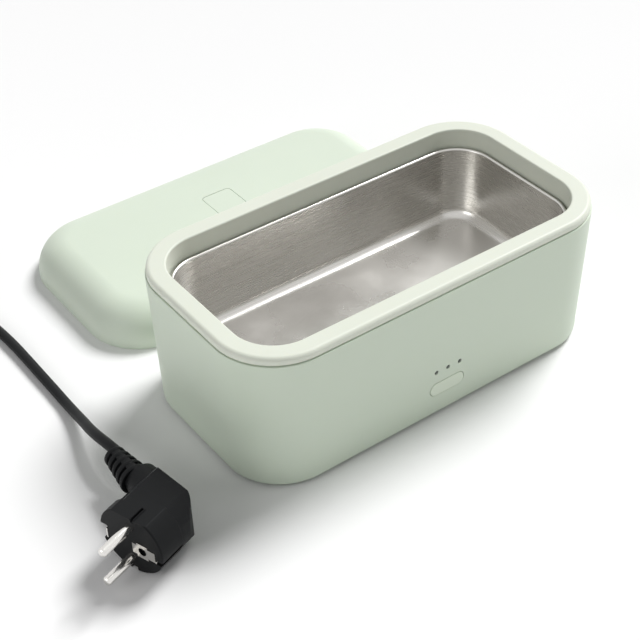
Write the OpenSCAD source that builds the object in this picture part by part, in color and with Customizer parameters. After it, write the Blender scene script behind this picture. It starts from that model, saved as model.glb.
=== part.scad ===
// Heated lunch box with a lift-off lid, a steel food container and a detachable mains lead.
// The lid lies on the table behind the box, as it does when food is served from it.
// All sizes are in millimetres. The origin is on the table, midway between box and lid.

/* [Box] */
// Length of the box at the seam under the rim
body_l = 228; // [216:1:240]
// Width of the box at the seam under the rim
body_w = 122; // [116:1:130]
// Height of the box from the table to the top of the rim
body_h = 84.4; // [82:0.2:92]
// Corner radius of the box outline at the seam
corner_r = 34.4; // [33:0.2:38]
// How much the outline shrinks, on each side, from the seam to the bottom
draft = 2.2; // [0.5:0.1:3]
// Wall of the outer shell
shell_wall = 2.6; // [1.8:0.1:3]
// Radius of the bottom edge of the shell
foot_edge_r = 2; // [1:0.1:2.4]
// Height of the shell's bottom edge above the table
shell_lift = 1.5; // [1:0.1:2]
// Length by which the shell's inner ledge stands over the base cover
ledge_w = 2; // [1:0.1:3]
// Thickness of that ledge
ledge_t = 1.8; // [1:0.1:3]

/* [Rim collar] */
// Height of the rim above the seam
rim_h = 4.6; // [4:0.1:6]
// Step from the shell's face in to the rim's face
rim_step = 0.6; // [0.2:0.1:0.9]
// Width from the shell's outline in to the rim's opening
rim_w = 11; // [10.6:0.1:12]
// Thickness of the rim's flat top
rim_t = 2.6; // [2:0.1:3]
// Radius of the rim's outer top edge
rim_edge_r = 2.4; // [1:0.1:2.5]
// Radius of the rim's inner top edge
rim_lip_r = 1; // [0.5:0.1:1.4]
// Height of the shadow groove between the shell and the rim
seam_gap = 0.5; // [0.2:0.1:0.8]
// Depth of that groove
seam_depth = 1; // [0.6:0.1:1.2]
// How far the rim's foot reaches in past the shell's wall
rim_foot_lap = 0.8; // [0.4:0.1:1]
// Wall of the rim's inner skirt
skirt_t = 2.2; // [1.6:0.1:2.4]
// Depth of the inner skirt below the rim's top
skirt_h = 13.4; // [12:0.1:16]
// Outer diameter of a screw boss under the rim
rim_boss_d = 5.2; // [4.6:0.1:5.4]

/* [Inner well] */
// Wall of the well, its flange and its floor
well_t = 1.6; // [1.2:0.1:2]
// Width of the ledge that carries the container's rolled edge
seat_w = 2; // [1.6:0.1:2.4]
// How much the well narrows, on each side, from its flange to its floor
well_draft = 3.9; // [3.7:0.1:5]
// Height of the underside of the well's floor above the table
well_floor_z = 26; // [25.5:0.1:28]
// Gap between the well's flange and the shell
flange_gap = 0.4; // [0.3:0.1:0.6]
// Corner radius of the heater opening in the well's floor
heater_gap_r = 8; // [6:0.5:10]
// Diameter of the bosses that take the clamp screws
strap_boss_d = 6; // [5:0.2:6.4]
// Outer diameter of the four bosses that take the base screws
base_boss_d = 7; // [6:0.1:8]

/* [Food container] */
// Sheet thickness of the steel container
steel_t = 0.8; // [0.5:0.1:1]
// Diameter of the container's rolled edge
bead_d = 2.4; // [2:0.1:2.8]
// Gap between the container and what surrounds it
container_gap = 0.4; // [0.3:0.1:0.6]
// Radius of the container's bottom edge
container_edge_r = 7; // [4:0.5:9]

/* [Base] */
// Thickness of the base cover
cover_t = 2.2; // [1.8:0.1:2.4]
// Depth of the cover's underside above the shell's bottom edge
cover_inset = 0.5; // [0.2:0.1:1]
// Gap between the base cover and the shell
cover_gap = 0.3; // [0.2:0.1:0.5]
// Diameter of a rubber foot
foot_d = 16; // [12:0.5:18]
// Depth of the recess that holds a foot
foot_recess = 1; // [0.6:0.1:1.2]
// Gap round a foot and a base screw's head
foot_gap = 0.2; // [0.1:0.05:0.3]
// Chamfer round the sole of a foot
foot_chamfer = 0.6; // [0.2:0.1:1]
// Distance of the feet and base screws from the box centre, along its length
foot_x = 84; // [80:1:86]
// Distance of the feet and base screws from the box centre, across it
foot_y = 30; // [28:0.5:32]

/* [Screws] */
// Shank diameter of the base screws
base_screw_d = 2.9; // [2.5:0.1:3]
// Head diameter of the base screws
base_head_d = 5.4; // [5:0.1:5.6]
// Shank diameter of the small screws
small_screw_d = 2.2; // [2:0.1:2.4]
// Head diameter of the small screws
small_head_d = 4.2; // [4:0.1:4.4]
// Clearance round a screw shank, on its radius
screw_gap = 0.1; // [0.05:0.01:0.15]

/* [Heater] */
// How far the heating plate laps over the well's floor, on each side
plate_lap = 6; // [5:0.5:7]
// Thickness of the aluminium heating plate
plate_t = 1.8; // [1.5:0.1:2.4]
// Corner radius of the aluminium heating plate
plate_r = 12; // [8:0.5:14]
// Height of the silicone seal under the plate's edge
seal_h = 1; // [0.8:0.1:1.2]
// Width of the silicone seal under the plate's edge
seal_w = 4; // [3:0.5:4.5]
// Length of the heater block
heater_l = 110; // [100:1:116]
// Width of the heater block
heater_w = 34; // [28:1:38]
// Room for the thermostat and the fuse at each end of the heater block
heater_end_room = 17; // [16.5:0.5:18]
// Room beside the heater block
heater_side_room = 12; // [10:0.5:13]
// Thickness of the heater block
heater_t = 6; // [5:0.1:6.4]
// Width of a clamp strap
strap_w = 12; // [10:1:14]
// Thickness of a clamp strap
strap_t = 1.2; // [1:0.1:1.4]
// Distance of a clamp strap from the box centre
strap_x = 32; // [26:1:36]
// Distance of the clamp screws from the heater opening's edge
strap_screw_lap = 4; // [4:0.5:5]
// Thickness of the insulation pad
pad_t = 1.8; // [1:0.1:2]
// How far the insulation pad reaches past the ends of the heater block
pad_lap_l = 3; // [1:0.5:5]
// How far the insulation pad reaches past the sides of the heater block
pad_lap_w = 7; // [4:0.5:9]
// Diameter of the thermostat
thermostat_d = 14; // [12:0.5:15]
// Height of the thermostat
thermostat_h = 4.6; // [4:0.1:5]

/* [Controls] */
// Width of the power button
button_l = 22; // [20:0.5:24]
// Height of the power button
button_h = 8.2; // [7:0.1:9]
// Sideways place of the power button
button_x = 1.2; // [-3:0.1:3]
// Height of the power button's centre above the table
button_z = 18.8; // [18:0.1:20]
// Travel of the power button
button_travel = 0.8; // [0.5:0.1:1]
// Gap round the power button
button_gap = 0.3; // [0.2:0.1:0.5]
// Height of the status lights above the table
led_z = 30.5; // [29:0.1:33]
// Distance from one status light to the next
led_pitch = 7.6; // [6:0.1:9]
// Diameter of a status light's window
led_d = 2.4; // [2:0.1:3]
// Gap round a status light's window
led_gap = 0.05; // [0.02:0.01:0.1]
// Length of the control board
board_l = 64; // [58:1:70]
// Height of the control board
board_h = 26; // [25:0.5:27]
// Thickness of a circuit board
board_t = 1.6; // [1.2:0.1:1.8]
// Length of the power board
power_board_l = 62; // [58:1:66]
// Width of the power board
power_board_w = 42; // [38:1:44]

/* [Inlet] */
// Width of the socket cavity for the lead's connector
inlet_w = 24.8; // [24.4:0.1:25.2]
// Height of the socket cavity for the lead's connector
inlet_h = 16.8; // [16.4:0.1:17]
// Depth of the socket cavity
inlet_depth = 16; // [15:0.5:18]
// Wall of the inlet housing
inlet_wall = 1.4; // [1.2:0.1:1.6]
// Height of the inlet's centre above the table
inlet_z = 15.6; // [15.4:0.1:16]

/* [Lid] */
// Height of the lid
lid_h = 22.5; // [21:0.5:26]
// Radius of the lid's upper edge
lid_edge_r = 19.8; // [14:0.2:20.6]
// Wall of the lid
lid_wall = 2.4; // [2:0.1:2.6]
// Gap between the box and the lid that lies behind it
lid_gap = 14; // [8:1:40]
// Height of the lid's inner panel above the lid's lower edge
liner_z = 4.6; // [4.2:0.1:5]
// Thickness of the inner panel
liner_t = 1.6; // [1.2:0.1:2]
// Width of the lid's silicone gasket
gasket_w = 5; // [4:0.1:5.4]
// Length of the vent cap on the lid, across the lid
vent_l = 40; // [32:1:44]
// Width of the vent cap on the lid
vent_w = 19.6; // [16:0.2:24]
// Depth of the recess that the vent cap fills
vent_t = 1.4; // [1:0.1:1.6]
// Diameter of the vent cap's stem
vent_stem_d = 6; // [5:0.5:7]

/* [Mains lead] */
// Diameter of the cord
cord_d = 5.6; // [5.2:0.1:5.6]
// Diameter of the plug's round nose
plug_d = 37; // [36:0.5:37]
// Diameter of a plug pin
pin_d = 4.8; // [4:0.1:4.8]
// Length of a plug pin
pin_l = 19; // [19:0.5:20]
// Distance between the plug's pins
pin_pitch = 19; // [18:0.5:19]
// Direction in which the plug's pins point, as a bearing in the table's plane
plug_turn = 199.4; // [195:0.1:204]
// Gap between the lead's connector and the inlet, on each side
connector_fit = 0.4; // [0.2:0.05:0.6]
// Distance between neighbouring turns of the coiled cord
coil_pitch = 6.2; // [6.2:0.1:6.8]
// Turns in each of the coil's two layers
coil_turns = 2; // [2:1:2]

/* [Hidden] */
$fn = 96;

mint = [0.75, 0.83, 0.74];
pale = [0.92, 0.93, 0.88];
steel = [0.75, 0.75, 0.76];
brass = [0.78, 0.66, 0.36];
silicone = [0.93, 0.94, 0.91];
black = [0.09, 0.09, 0.09];
board_green = [0.1, 0.35, 0.2];

// Centres of the four corner arcs, which every outline of box and lid shares
corner_x = body_l / 2 - corner_r;
corner_y = body_w / 2 - corner_r;
box_y = -(body_w + lid_gap) / 2;
lid_y = (body_w + lid_gap) / 2;
seam_z = body_h - rim_h;
open_r = corner_r - rim_w;
flange_top = body_h - skirt_h;
well_r = open_r - seat_w;
well_floor_top = well_floor_z + well_t;
well_h = flange_top - well_floor_z;
rim_boss_r = open_r + skirt_t + 0.3 + rim_boss_d / 2;
rim_screw_inset = 24;
heater_gap_l = heater_l + 2 * heater_end_room;
heater_gap_w = heater_w + 2 * heater_side_room;
plate_l = heater_gap_l + 2 * plate_lap;
plate_w = heater_gap_w + 2 * plate_lap;
strap_screw_y = heater_gap_w / 2 + strap_screw_lap;
plate_z = well_floor_top + seal_h;
plate_top = plate_z + plate_t;
cover_z = shell_lift + cover_inset;
cover_top = cover_z + cover_t;
seat_gap = 0.3;
over = 1;
boss_gap = 0.3;
cup_wall = 2;
cup_floor = 1.6;
cup_seat_z = cover_z + foot_recess + cup_wall;
cup_top = cup_seat_z + cup_floor;
base_head_h = 1.8;
base_screw_l = 12;
small_head_h = 1.4;
small_screw_l = 8;
heater_z = plate_z - heater_t;
strap_z = heater_z - strap_t;
strap_screw_l = heater_t - over;
pad_z = strap_z - pad_t;

// Place of a point on the drafted shell, as its distance from the corner arcs' centres
function shell_r(z) = corner_r - draft * (seam_z - z) / (seam_z - shell_lift);
function well_inner(z) = well_r - well_draft * (flange_top - z) / well_h;
function front_face(z) = -(corner_y + shell_r(z));

// ---- shared shapes ----

// Runs a cross-section (x outwards from the corner centres, y up) round the whole outline.
module round_outline() {
    for (turn = [0 : 3]) {
        long_side = turn % 2 == 0;
        near = long_side ? corner_x : corner_y;
        span = long_side ? corner_y : corner_x;
        rotate([0, 0, 90 * turn]) {
            translate([near, span, 0]) rotate_extrude(angle = 90) children();
            translate([near, span, 0]) rotate([90, 0, 0]) linear_extrude(2 * span) children();
        }
    }
}

// Fills the middle of a plate whose cross-section starts at the corner centres.
module plate_core(bottom, top) {
    translate([-corner_x, -corner_y, bottom])
        cube([2 * corner_x, 2 * corner_y, top - bottom]);
}

module rounded_plate(l, w, r, t) {
    linear_extrude(t) rounded_outline(l, w, r);
}

module rounded_outline(l, w, r) {
    square([l - 2 * r, w], center = true);
    square([l, w - 2 * r], center = true);
    for (sx = [-1, 1], sy = [-1, 1])
        translate([sx * (l / 2 - r), sy * (w / 2 - r)]) circle(r);
}

module pill_outline(l, h) {
    square([l - h, h], center = true);
    for (sx = [-1, 1]) translate([sx * (l - h) / 2, 0]) circle(h / 2);
}

module at_box() {
    translate([0, box_y, 0]) children();
}

module at_lid() {
    translate([0, lid_y, 0]) children();
}

module at_base_screws() {
    for (sx = [-1, 1], sy = [-1, 1])
        translate([sx * foot_x, sy * foot_y, 0]) children();
}

module at_rim_screws() {
    for (sx = [-1, 1], sy = [-1, 1])
        translate([sx * (corner_x - rim_screw_inset), sy * (corner_y + rim_boss_r), 0])
            children();
    for (sx = [-1, 1])
        translate([sx * (corner_x + rim_boss_r), 0, 0]) children();
}

module at_strap_screws() {
    for (sx = [-1, 1], sy = [-1, 1])
        translate([sx * strap_x, sy * strap_screw_y, 0]) children();
}

// A screw pointing up, its head's top face at z = 0
module screw(d, head_d, head_h, l) {
    drive_d = head_d * 0.35;
    drive_h = head_h * 0.6;
    difference() {
        translate([0, 0, -head_h]) cylinder(h = head_h, d = head_d);
        translate([0, 0, -head_h - over]) cylinder(h = drive_h + over, d = drive_d);
    }
    cylinder(h = l, d = d);
}

// A smooth tube through a list of points, as one closed skin
function unit(v) = v / norm(v);
function curve_point(p, i, t) =
    let (n = len(p) - 1,
         a = p[max(i - 1, 0)], b = p[i], c = p[min(i + 1, n)], d = p[min(i + 2, n)])
    0.5 * (2 * b + (c - a) * t + (2 * a - 5 * b + 4 * c - d) * t * t
        + (3 * b - a - 3 * c + d) * t * t * t);
function smooth_path(p, steps) =
    [for (i = [0 : len(p) - 2], s = [0 : steps - 1]) curve_point(p, i, s / steps),
     p[len(p) - 1]];
function path_direction(p, i) = unit(p[min(i + 1, len(p) - 1)] - p[max(i - 1, 0)]);
function tube_ring(p, i, r, sides) =
    let (along = path_direction(p, i),
         side = unit(cross(along, [0, 0, 1])),
         up = cross(side, along))
    [for (k = [0 : sides - 1])
        p[i] + r * (side * sin(360 * k / sides) - up * cos(360 * k / sides))];

module tube(path, d, sides) {
    rings = len(path);
    points = [for (i = [0 : rings - 1]) each tube_ring(path, i, d / 2, sides)];
    walls = [for (i = [0 : rings - 2], k = [0 : sides - 1])
        let (a = i * sides + k, b = i * sides + (k + 1) % sides)
        each [[a, b, a + sides], [b, b + sides, a + sides]]];
    start_cap = [for (k = [sides - 1 : -1 : 0]) k];
    end_cap = [for (k = [0 : sides - 1]) (rings - 1) * sides + k];
    polyhedron(points, concat(walls, [start_cap, end_cap]));
}

// ---- casing ----

module outer_shell() {
    bottom_r = shell_r(shell_lift);
    color(mint) at_box() difference() {
        union() {
            round_outline() {
                polygon([[bottom_r - shell_wall, shell_lift],
                         [bottom_r - foot_edge_r, shell_lift],
                         [bottom_r, shell_lift + foot_edge_r],
                         [corner_r, seam_z],
                         [corner_r - shell_wall, seam_z]]);
                intersection() {
                    translate([bottom_r - foot_edge_r, shell_lift + foot_edge_r])
                        circle(foot_edge_r);
                    translate([bottom_r - foot_edge_r, shell_lift])
                        square([foot_edge_r, foot_edge_r]);
                }
                translate([bottom_r - shell_wall - ledge_w, cover_top])
                    square([ledge_w + shell_wall / 2, ledge_t]);
            }
            board_posts();
        }
        button_hole();
        for (i = [-1 : 1]) light_hole(i);
        inlet_opening();
    }
}

module inlet_opening() {
    w = inlet_w + 2 * inlet_wall + 2 * inlet_gap;
    h = inlet_h + 2 * inlet_wall + 2 * inlet_gap;
    translate([corner_x, -w / 2, inlet_z - h / 2]) cube([corner_r + over, w, h]);
}

board_setback = 11.6;
board_lift = 7;
board_screw_side = 5;
board_screw_up = 4;
board_front = -(corner_y + corner_r) + board_setback;
board_z = cover_top + board_lift;
board_screw_x = board_l / 2 - board_screw_side;
board_screw_z = board_z + board_screw_up;
post_d = 5;

module board_posts() {
    for (sx = [-1, 1])
        difference() {
            translate([sx * board_screw_x, board_front, board_screw_z])
                rotate([90, 0, 0])
                cylinder(h = board_front - front_face(board_screw_z) - shell_wall / 2, d = post_d);
            translate([sx * board_screw_x, board_front + over, board_screw_z])
                rotate([90, 0, 0])
                cylinder(h = board_front - front_face(board_screw_z) - shell_wall,
                    d = small_screw_d + 2 * screw_gap);
        }
}

module button_hole() {
    translate([button_x, front_face(button_z) + shell_wall + over, button_z])
        rotate([90, 0, 0])
        linear_extrude(shell_wall + 3 * over)
        pill_outline(button_l + 2 * button_gap, button_h + 2 * button_gap);
}

module light_hole(i) {
    translate([button_x + i * led_pitch, front_face(led_z) + shell_wall + over, led_z])
        rotate([90, 0, 0])
        cylinder(h = shell_wall + 3 * over, d = led_d + 2 * led_gap);
}

module rim_collar() {
    outer = corner_r - rim_step;
    foot = corner_r - shell_wall - rim_foot_lap;
    color(pale) at_box() {
        round_outline() {
            difference() {
                translate([open_r, body_h - rim_t]) square([outer - open_r, rim_t]);
                corner_cut(outer - rim_edge_r, body_h - rim_edge_r, rim_edge_r, 1);
                corner_cut(open_r + rim_lip_r, body_h - rim_lip_r, rim_lip_r, -1);
            }
            difference() {
                translate([foot, seam_z]) square([outer - foot, rim_h - rim_t]);
                translate([outer - seam_depth, seam_z - over])
                    square([seam_depth + over, seam_gap + over]);
            }
            translate([open_r, flange_top]) square([skirt_t, skirt_h - rim_t]);
        }
        at_rim_screws() translate([0, 0, flange_top])
            difference() {
                cylinder(h = skirt_h - rim_t / 2, d = rim_boss_d);
                translate([0, 0, -over])
                    cylinder(h = small_screw_l + over, d = small_screw_d + 2 * screw_gap);
            }
    }
}

// What a rounded edge takes off a square corner; side 1 is the outer corner, -1 the inner
module corner_cut(x, z, r, side) {
    difference() {
        translate([side > 0 ? x : x - r - 1, z]) square([r + 1, r + 1]);
        translate([x, z]) circle(r);
    }
}

module inner_well() {
    floor_r = well_inner(well_floor_z);
    flange_r = shell_r(flange_top - well_t) - shell_wall - flange_gap;
    color(pale) at_box() difference() {
        union() {
            round_outline() {
                translate([well_r, flange_top - well_t]) square([flange_r - well_r, well_t]);
                polygon([[floor_r, well_floor_z], [floor_r + well_t, well_floor_z],
                         [well_r + well_t, flange_top - well_t / 2],
                         [well_r, flange_top - well_t / 2], [well_r, flange_top - well_t]]);
                translate([0, well_floor_z]) square([floor_r + well_t / 2, well_t]);
            }
            plate_core(well_floor_z, well_floor_top);
            at_base_screws() translate([0, 0, cup_top])
                cylinder(h = well_floor_z + well_t / 2 - cup_top, d = base_boss_d);
            at_strap_screws() translate([0, 0, heater_z])
                cylinder(h = well_floor_z + well_t / 2 - heater_z, d = strap_boss_d);
        }
        translate([0, 0, well_floor_z - over])
            rounded_plate(heater_gap_l, heater_gap_w, heater_gap_r, well_t + 2 * over);
        at_base_screws()
            cylinder_between(cup_top - over, cup_seat_z + base_screw_l + over,
                base_screw_d + 2 * screw_gap);
        at_strap_screws()
            cylinder_between(heater_z - over, strap_z + strap_screw_l + screw_gap,
                small_screw_d + 2 * screw_gap);
        at_rim_screws()
            cylinder_between(flange_top - well_t - over, flange_top + over,
                small_screw_d + 2 * boss_gap);
    }
}

module base_cover() {
    edge = shell_r(cover_z) - shell_wall - cover_gap;
    color(mint * 0.8) at_box() difference() {
        union() {
            round_outline() translate([0, cover_z]) square([edge, cover_t]);
            plate_core(cover_z, cover_top);
            at_base_screws()
                cylinder_between(cover_z + foot_recess, cup_top, base_head_d + 2 * cup_wall);
            at_power_posts() cylinder_between(cover_z + cover_t / 2, power_board_z, post_d);
        }
        at_base_screws() cylinder_between(0, cover_z + foot_recess, foot_d + 2 * foot_gap);
        at_base_screws() cylinder_between(0, cup_seat_z, base_head_d + 2 * foot_gap);
        at_base_screws() cylinder_between(0, cup_top + over, base_screw_d + 4 * screw_gap);
    }
}

module cylinder_between(bottom, top, d) {
    translate([0, 0, bottom]) cylinder(h = top - bottom, d = d);
}

module rubber_feet() {
    color([0.25, 0.26, 0.25]) at_box() at_base_screws() {
        cylinder(h = foot_chamfer, d1 = foot_d - 2 * foot_chamfer, d2 = foot_d);
        cylinder_between(foot_chamfer, cover_z + foot_recess, foot_d);
    }
}

module base_screws() {
    color(steel) at_box() at_base_screws() translate([0, 0, cup_seat_z])
        screw(base_screw_d, base_head_d, base_head_h, base_screw_l);
}

module rim_screws() {
    color(steel) at_box() at_rim_screws() translate([0, 0, flange_top - well_t])
        screw(small_screw_d, small_head_d, small_head_h, small_screw_l);
}

// ---- heater ----

module heating_plate() {
    color([0.8, 0.8, 0.81]) at_box() translate([0, 0, plate_z])
        rounded_plate(plate_l, plate_w, plate_r, plate_t);
}

module plate_seal() {
    color([0.75, 0.3, 0.22]) at_box() translate([0, 0, well_floor_top]) difference() {
        rounded_plate(plate_l, plate_w, plate_r, seal_h);
        translate([0, 0, -over])
            rounded_plate(plate_l - 2 * seal_w, plate_w - 2 * seal_w, plate_r - seal_w,
                seal_h + 2 * over);
    }
}

module heater_block() {
    groove_count = 9;
    groove_w = 3;
    groove_h = 1;
    edge = 3;
    color([0.7, 0.71, 0.73]) at_box() translate([0, 0, heater_z]) difference() {
        rounded_plate(heater_l, heater_w, 2, heater_t);
        for (i = [0 : groove_count - 1])
            translate([(i - (groove_count - 1) / 2) * heater_l / groove_count - groove_w / 2,
                       edge - heater_w / 2, -over])
                cube([groove_w, heater_w - 2 * edge, groove_h + over]);
    }
}

module heater_straps() {
    strap_end = 5;
    strap_l = 2 * (strap_screw_y + strap_end);
    color(steel) at_box() for (sx = [-1, 1])
        translate([sx * strap_x, 0, strap_z]) difference() {
            rounded_plate(strap_w, strap_l, 3, strap_t);
            for (sy = [-1, 1])
                translate([0, sy * strap_screw_y, -over])
                    cylinder(h = strap_t + 2 * over, d = small_screw_d + 4 * screw_gap);
        }
}

module strap_screws() {
    color(steel) at_box() at_strap_screws() translate([0, 0, strap_z])
        screw(small_screw_d, small_head_d, small_head_h, strap_screw_l);
}

thermostat_x = (heater_gap_l / 2 + heater_l / 2) / 2;

module thermostat() {
    tab_t = 0.8;
    tab_w = 4;
    tab_l = 6;
    tab_side = 3.5;
    low = plate_z - thermostat_h;
    color([0.82, 0.8, 0.74]) at_box() translate([thermostat_x, 0, 0]) {
        cylinder_between(low, plate_z, thermostat_d);
        for (sy = [-1, 1])
            translate([-tab_t / 2, sy * tab_side - tab_w / 2, low - tab_l])
                cube([tab_t, tab_w, tab_l + tab_t / 2]);
    }
}

module thermal_fuse() {
    fuse_d = 4;
    fuse_l = 12;
    lead_d = 1;
    lead_l = 28;
    color(brass) at_box() translate([-thermostat_x, 0, plate_z - fuse_d / 2]) rotate([90, 0, 0]) {
        cylinder(h = fuse_l, d = fuse_d, center = true);
        cylinder(h = lead_l, d = lead_d, center = true);
    }
}

module insulation_pad() {
    color([0.86, 0.84, 0.78]) at_box() translate([0, 0, pad_z])
        rounded_plate(heater_l + 2 * pad_lap_l, heater_w + 2 * pad_lap_w, 4, pad_t);
}

// ---- electronics ----

module control_board() {
    color(board_green) at_box() difference() {
        translate([-board_l / 2, board_front, board_z]) cube([board_l, board_t, board_h]);
        for (sx = [-1, 1])
            translate([sx * board_screw_x, board_front - over, board_screw_z])
                rotate([-90, 0, 0])
                cylinder(h = board_t + 2 * over, d = small_screw_d + 4 * screw_gap);
    }
}

module board_screws() {
    color(steel) at_box() for (sx = [-1, 1])
        translate([sx * board_screw_x, board_front + board_t, board_screw_z]) rotate([90, 0, 0])
            screw(small_screw_d, small_head_d, small_head_h, board_screw_l);
}

board_screw_l = 6;
window_l = 6;
window_inset = 0.1;
light_pipe_d = 3;
light_pipe_end = front_face(led_z) + window_l;

module status_lights() {
    color([0.85, 0.9, 0.85]) at_box() for (i = [-1 : 1])
        translate([button_x + i * led_pitch, board_front, led_z]) rotate([90, 0, 0])
            cylinder(h = board_front - light_pipe_end - seat_gap, d = light_pipe_d);
}

module light_windows() {
    color([0.3, 0.32, 0.3]) at_box() for (i = [-1 : 1])
        translate([button_x + i * led_pitch, light_pipe_end, led_z]) rotate([90, 0, 0])
            cylinder(h = window_l - window_inset, d = led_d);
}

cap_flange = 1.5;
cap_flange_t = 1.1;
cap_flange_gap = 0.6;
cap_proud = 0.2;
cap_back = front_face(button_z) + shell_wall + cap_flange_gap + cap_flange_t;
switch_gap = 0.5;
switch_front = cap_back + button_travel + switch_gap;
switch_w = 6;
plunger_d = 3.4;
plunger_gap = 0.05;
plunger_end_gap = 0.4;

module tact_switch() {
    color([0.15, 0.15, 0.16]) at_box() difference() {
        translate([button_x - switch_w / 2, switch_front, button_z - switch_w / 2])
            cube([switch_w, board_front - switch_front, switch_w]);
        translate([button_x, switch_front - over, button_z]) rotate([-90, 0, 0])
            cylinder(h = board_front - switch_front, d = plunger_d + 2 * plunger_gap);
    }
}

module switch_plunger() {
    color([0.85, 0.84, 0.8]) at_box() translate([button_x, cap_back, button_z])
        rotate([-90, 0, 0])
        cylinder(h = board_front - over - button_travel - plunger_end_gap - cap_back,
            d = plunger_d);
}

module power_button() {
    color(pale) at_box() {
        translate([button_x, cap_back, button_z]) rotate([90, 0, 0])
            linear_extrude(cap_back - front_face(button_z) + cap_proud)
            pill_outline(button_l, button_h);
        translate([button_x, cap_back, button_z]) rotate([90, 0, 0])
            linear_extrude(cap_flange_t)
            pill_outline(button_l + 2 * cap_flange, button_h + 2 * cap_flange);
    }
}

power_board_x = 44;
power_board_lift = 4.6;
power_board_z = cover_top + power_board_lift;
power_board_top = power_board_z + board_t;
post_edge = 4;
part_h = 6;
part_sink = 0.2;

module at_power_posts() {
    for (sx = [-1, 1], sy = [-1, 1])
        translate([power_board_x + sx * (power_board_l / 2 - post_edge),
                   sy * (power_board_w / 2 - post_edge), 0])
            children();
}

// Two capacitors, a filter coil's case and the terminal block stand on the board
capacitors = [[18, 10, 9], [6, 10, 7]];
cases = [[18.5, -9, 9, 16], [-24, -3, 6, 22]];

module power_board() {
    color(board_green) at_box() translate([power_board_x, 0, 0]) {
        translate([-power_board_l / 2, -power_board_w / 2, power_board_z])
            cube([power_board_l, power_board_w, board_t]);
        for (c = capacitors) translate([c[0], c[1], power_board_top - part_sink])
            cylinder(h = part_h, d = c[2]);
        for (c = cases) translate([c[0] - c[2] / 2, c[1] - c[3] / 2, power_board_top - part_sink])
            cube([c[2], c[3], part_h]);
    }
}

relay_l = 18;
relay_w = 12;
relay_h = 6.4;
relay_x = -5;
relay_edge = 5;

module relay() {
    color([0.12, 0.2, 0.45]) at_box()
        translate([power_board_x + relay_x, relay_edge + (relay_w - power_board_w) / 2,
                   power_board_top])
        rounded_plate(relay_l, relay_w, 0.8, relay_h);
}

// ---- inlet ----

flange_t = 1.3;
flange_side = 1.5;
flange_rise = 1.3;
flange_r = 2.5;
inlet_gap = 0.1;
inlet_back = 3;
inlet_chamfer = 4.5;
flange_w = inlet_w + 2 * (inlet_wall + flange_side);
flange_h = inlet_h + 2 * (inlet_wall + flange_rise);
inlet_face = corner_x + shell_r(inlet_z + flange_h / 2) + inlet_gap;
cavity_back = inlet_face + flange_t - inlet_depth;
pin_side = 7;
pin_low = -1.5;
pin_high = 2.5;
inlet_pin = [2, 4];
inlet_pin_gap = 0.05;
inlet_pin_tail = 9;
inlet_pin_inset = 3;
contact_places = [[-pin_side, pin_low], [pin_side, pin_low], [0, pin_high]];

// The connector's shape: a rectangle whose upper corners are cut off
module connector_outline(w, h, cut) {
    polygon([[-w / 2, -h / 2], [w / 2, -h / 2], [w / 2, h / 2 - cut],
             [w / 2 - cut, h / 2], [-w / 2 + cut, h / 2], [-w / 2, h / 2 - cut]]);
}

module inlet_housing() {
    color([0.14, 0.14, 0.15]) at_box() difference() {
        union() {
            translate([inlet_face, 0, inlet_z]) rotate([90, 0, 90])
                linear_extrude(flange_t) rounded_outline(flange_w, flange_h, flange_r);
            translate([cavity_back - inlet_back, -inlet_w / 2 - inlet_wall,
                       inlet_z - inlet_h / 2 - inlet_wall])
                cube([inlet_face - cavity_back + inlet_back + flange_t / 2,
                      inlet_w + 2 * inlet_wall, inlet_h + 2 * inlet_wall]);
        }
        translate([cavity_back, 0, inlet_z]) rotate([90, 0, 90])
            linear_extrude(inlet_depth + over)
            connector_outline(inlet_w, inlet_h, inlet_chamfer);
        at_inlet_pins() translate([-inlet_back / 2, 0, 0])
            cube([inlet_back + 2 * over, inlet_pin[0] + 2 * inlet_pin_gap,
                  inlet_pin[1] + 2 * inlet_pin_gap], center = true);
    }
}

module at_inlet_pins() {
    for (p = contact_places) translate([cavity_back, p[0], inlet_z + p[1]]) children();
}

module inlet_pins() {
    color(steel) at_box() at_inlet_pins()
        translate([-inlet_pin_tail, -inlet_pin[0] / 2, -inlet_pin[1] / 2])
        cube([inlet_pin_tail + inlet_depth - inlet_pin_inset, inlet_pin[0], inlet_pin[1]]);
}

wire_d = 2;
wire_steps = 4;
wire_gap = 0.4;
wire_side = 6;
wire_z = power_board_top + wire_d / 2 + 2 * wire_gap;
mains_wire_from = cavity_back - inlet_pin_tail - wire_gap;
mains_wire_to = power_board_x + power_board_l / 2 + wire_gap;
heater_wire_from = power_board_x - power_board_l / 2 - over;
heater_end = -heater_l / 2;

function between(a, b, t) = a + (b - a) * t;

// The stiff wires leave the inlet's pins level, then bend down to the board's edge
module mains_wires() {
    z0 = inlet_z + pin_low;
    color([0.35, 0.22, 0.12]) at_box() for (sy = [-1, 1])
        tube(smooth_path([
            [mains_wire_from, sy * pin_side, z0],
            [between(mains_wire_from, mains_wire_to, 0.27), sy * pin_side, z0],
            [between(mains_wire_from, mains_wire_to, 0.5), sy * (pin_side + 0.5), z0 - 0.5],
            [between(mains_wire_from, mains_wire_to, 0.75), sy * (pin_side + 1), wire_z + 0.4],
            [mains_wire_to, sy * (pin_side + 1), wire_z]], wire_steps), wire_d, 8);
}

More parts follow.
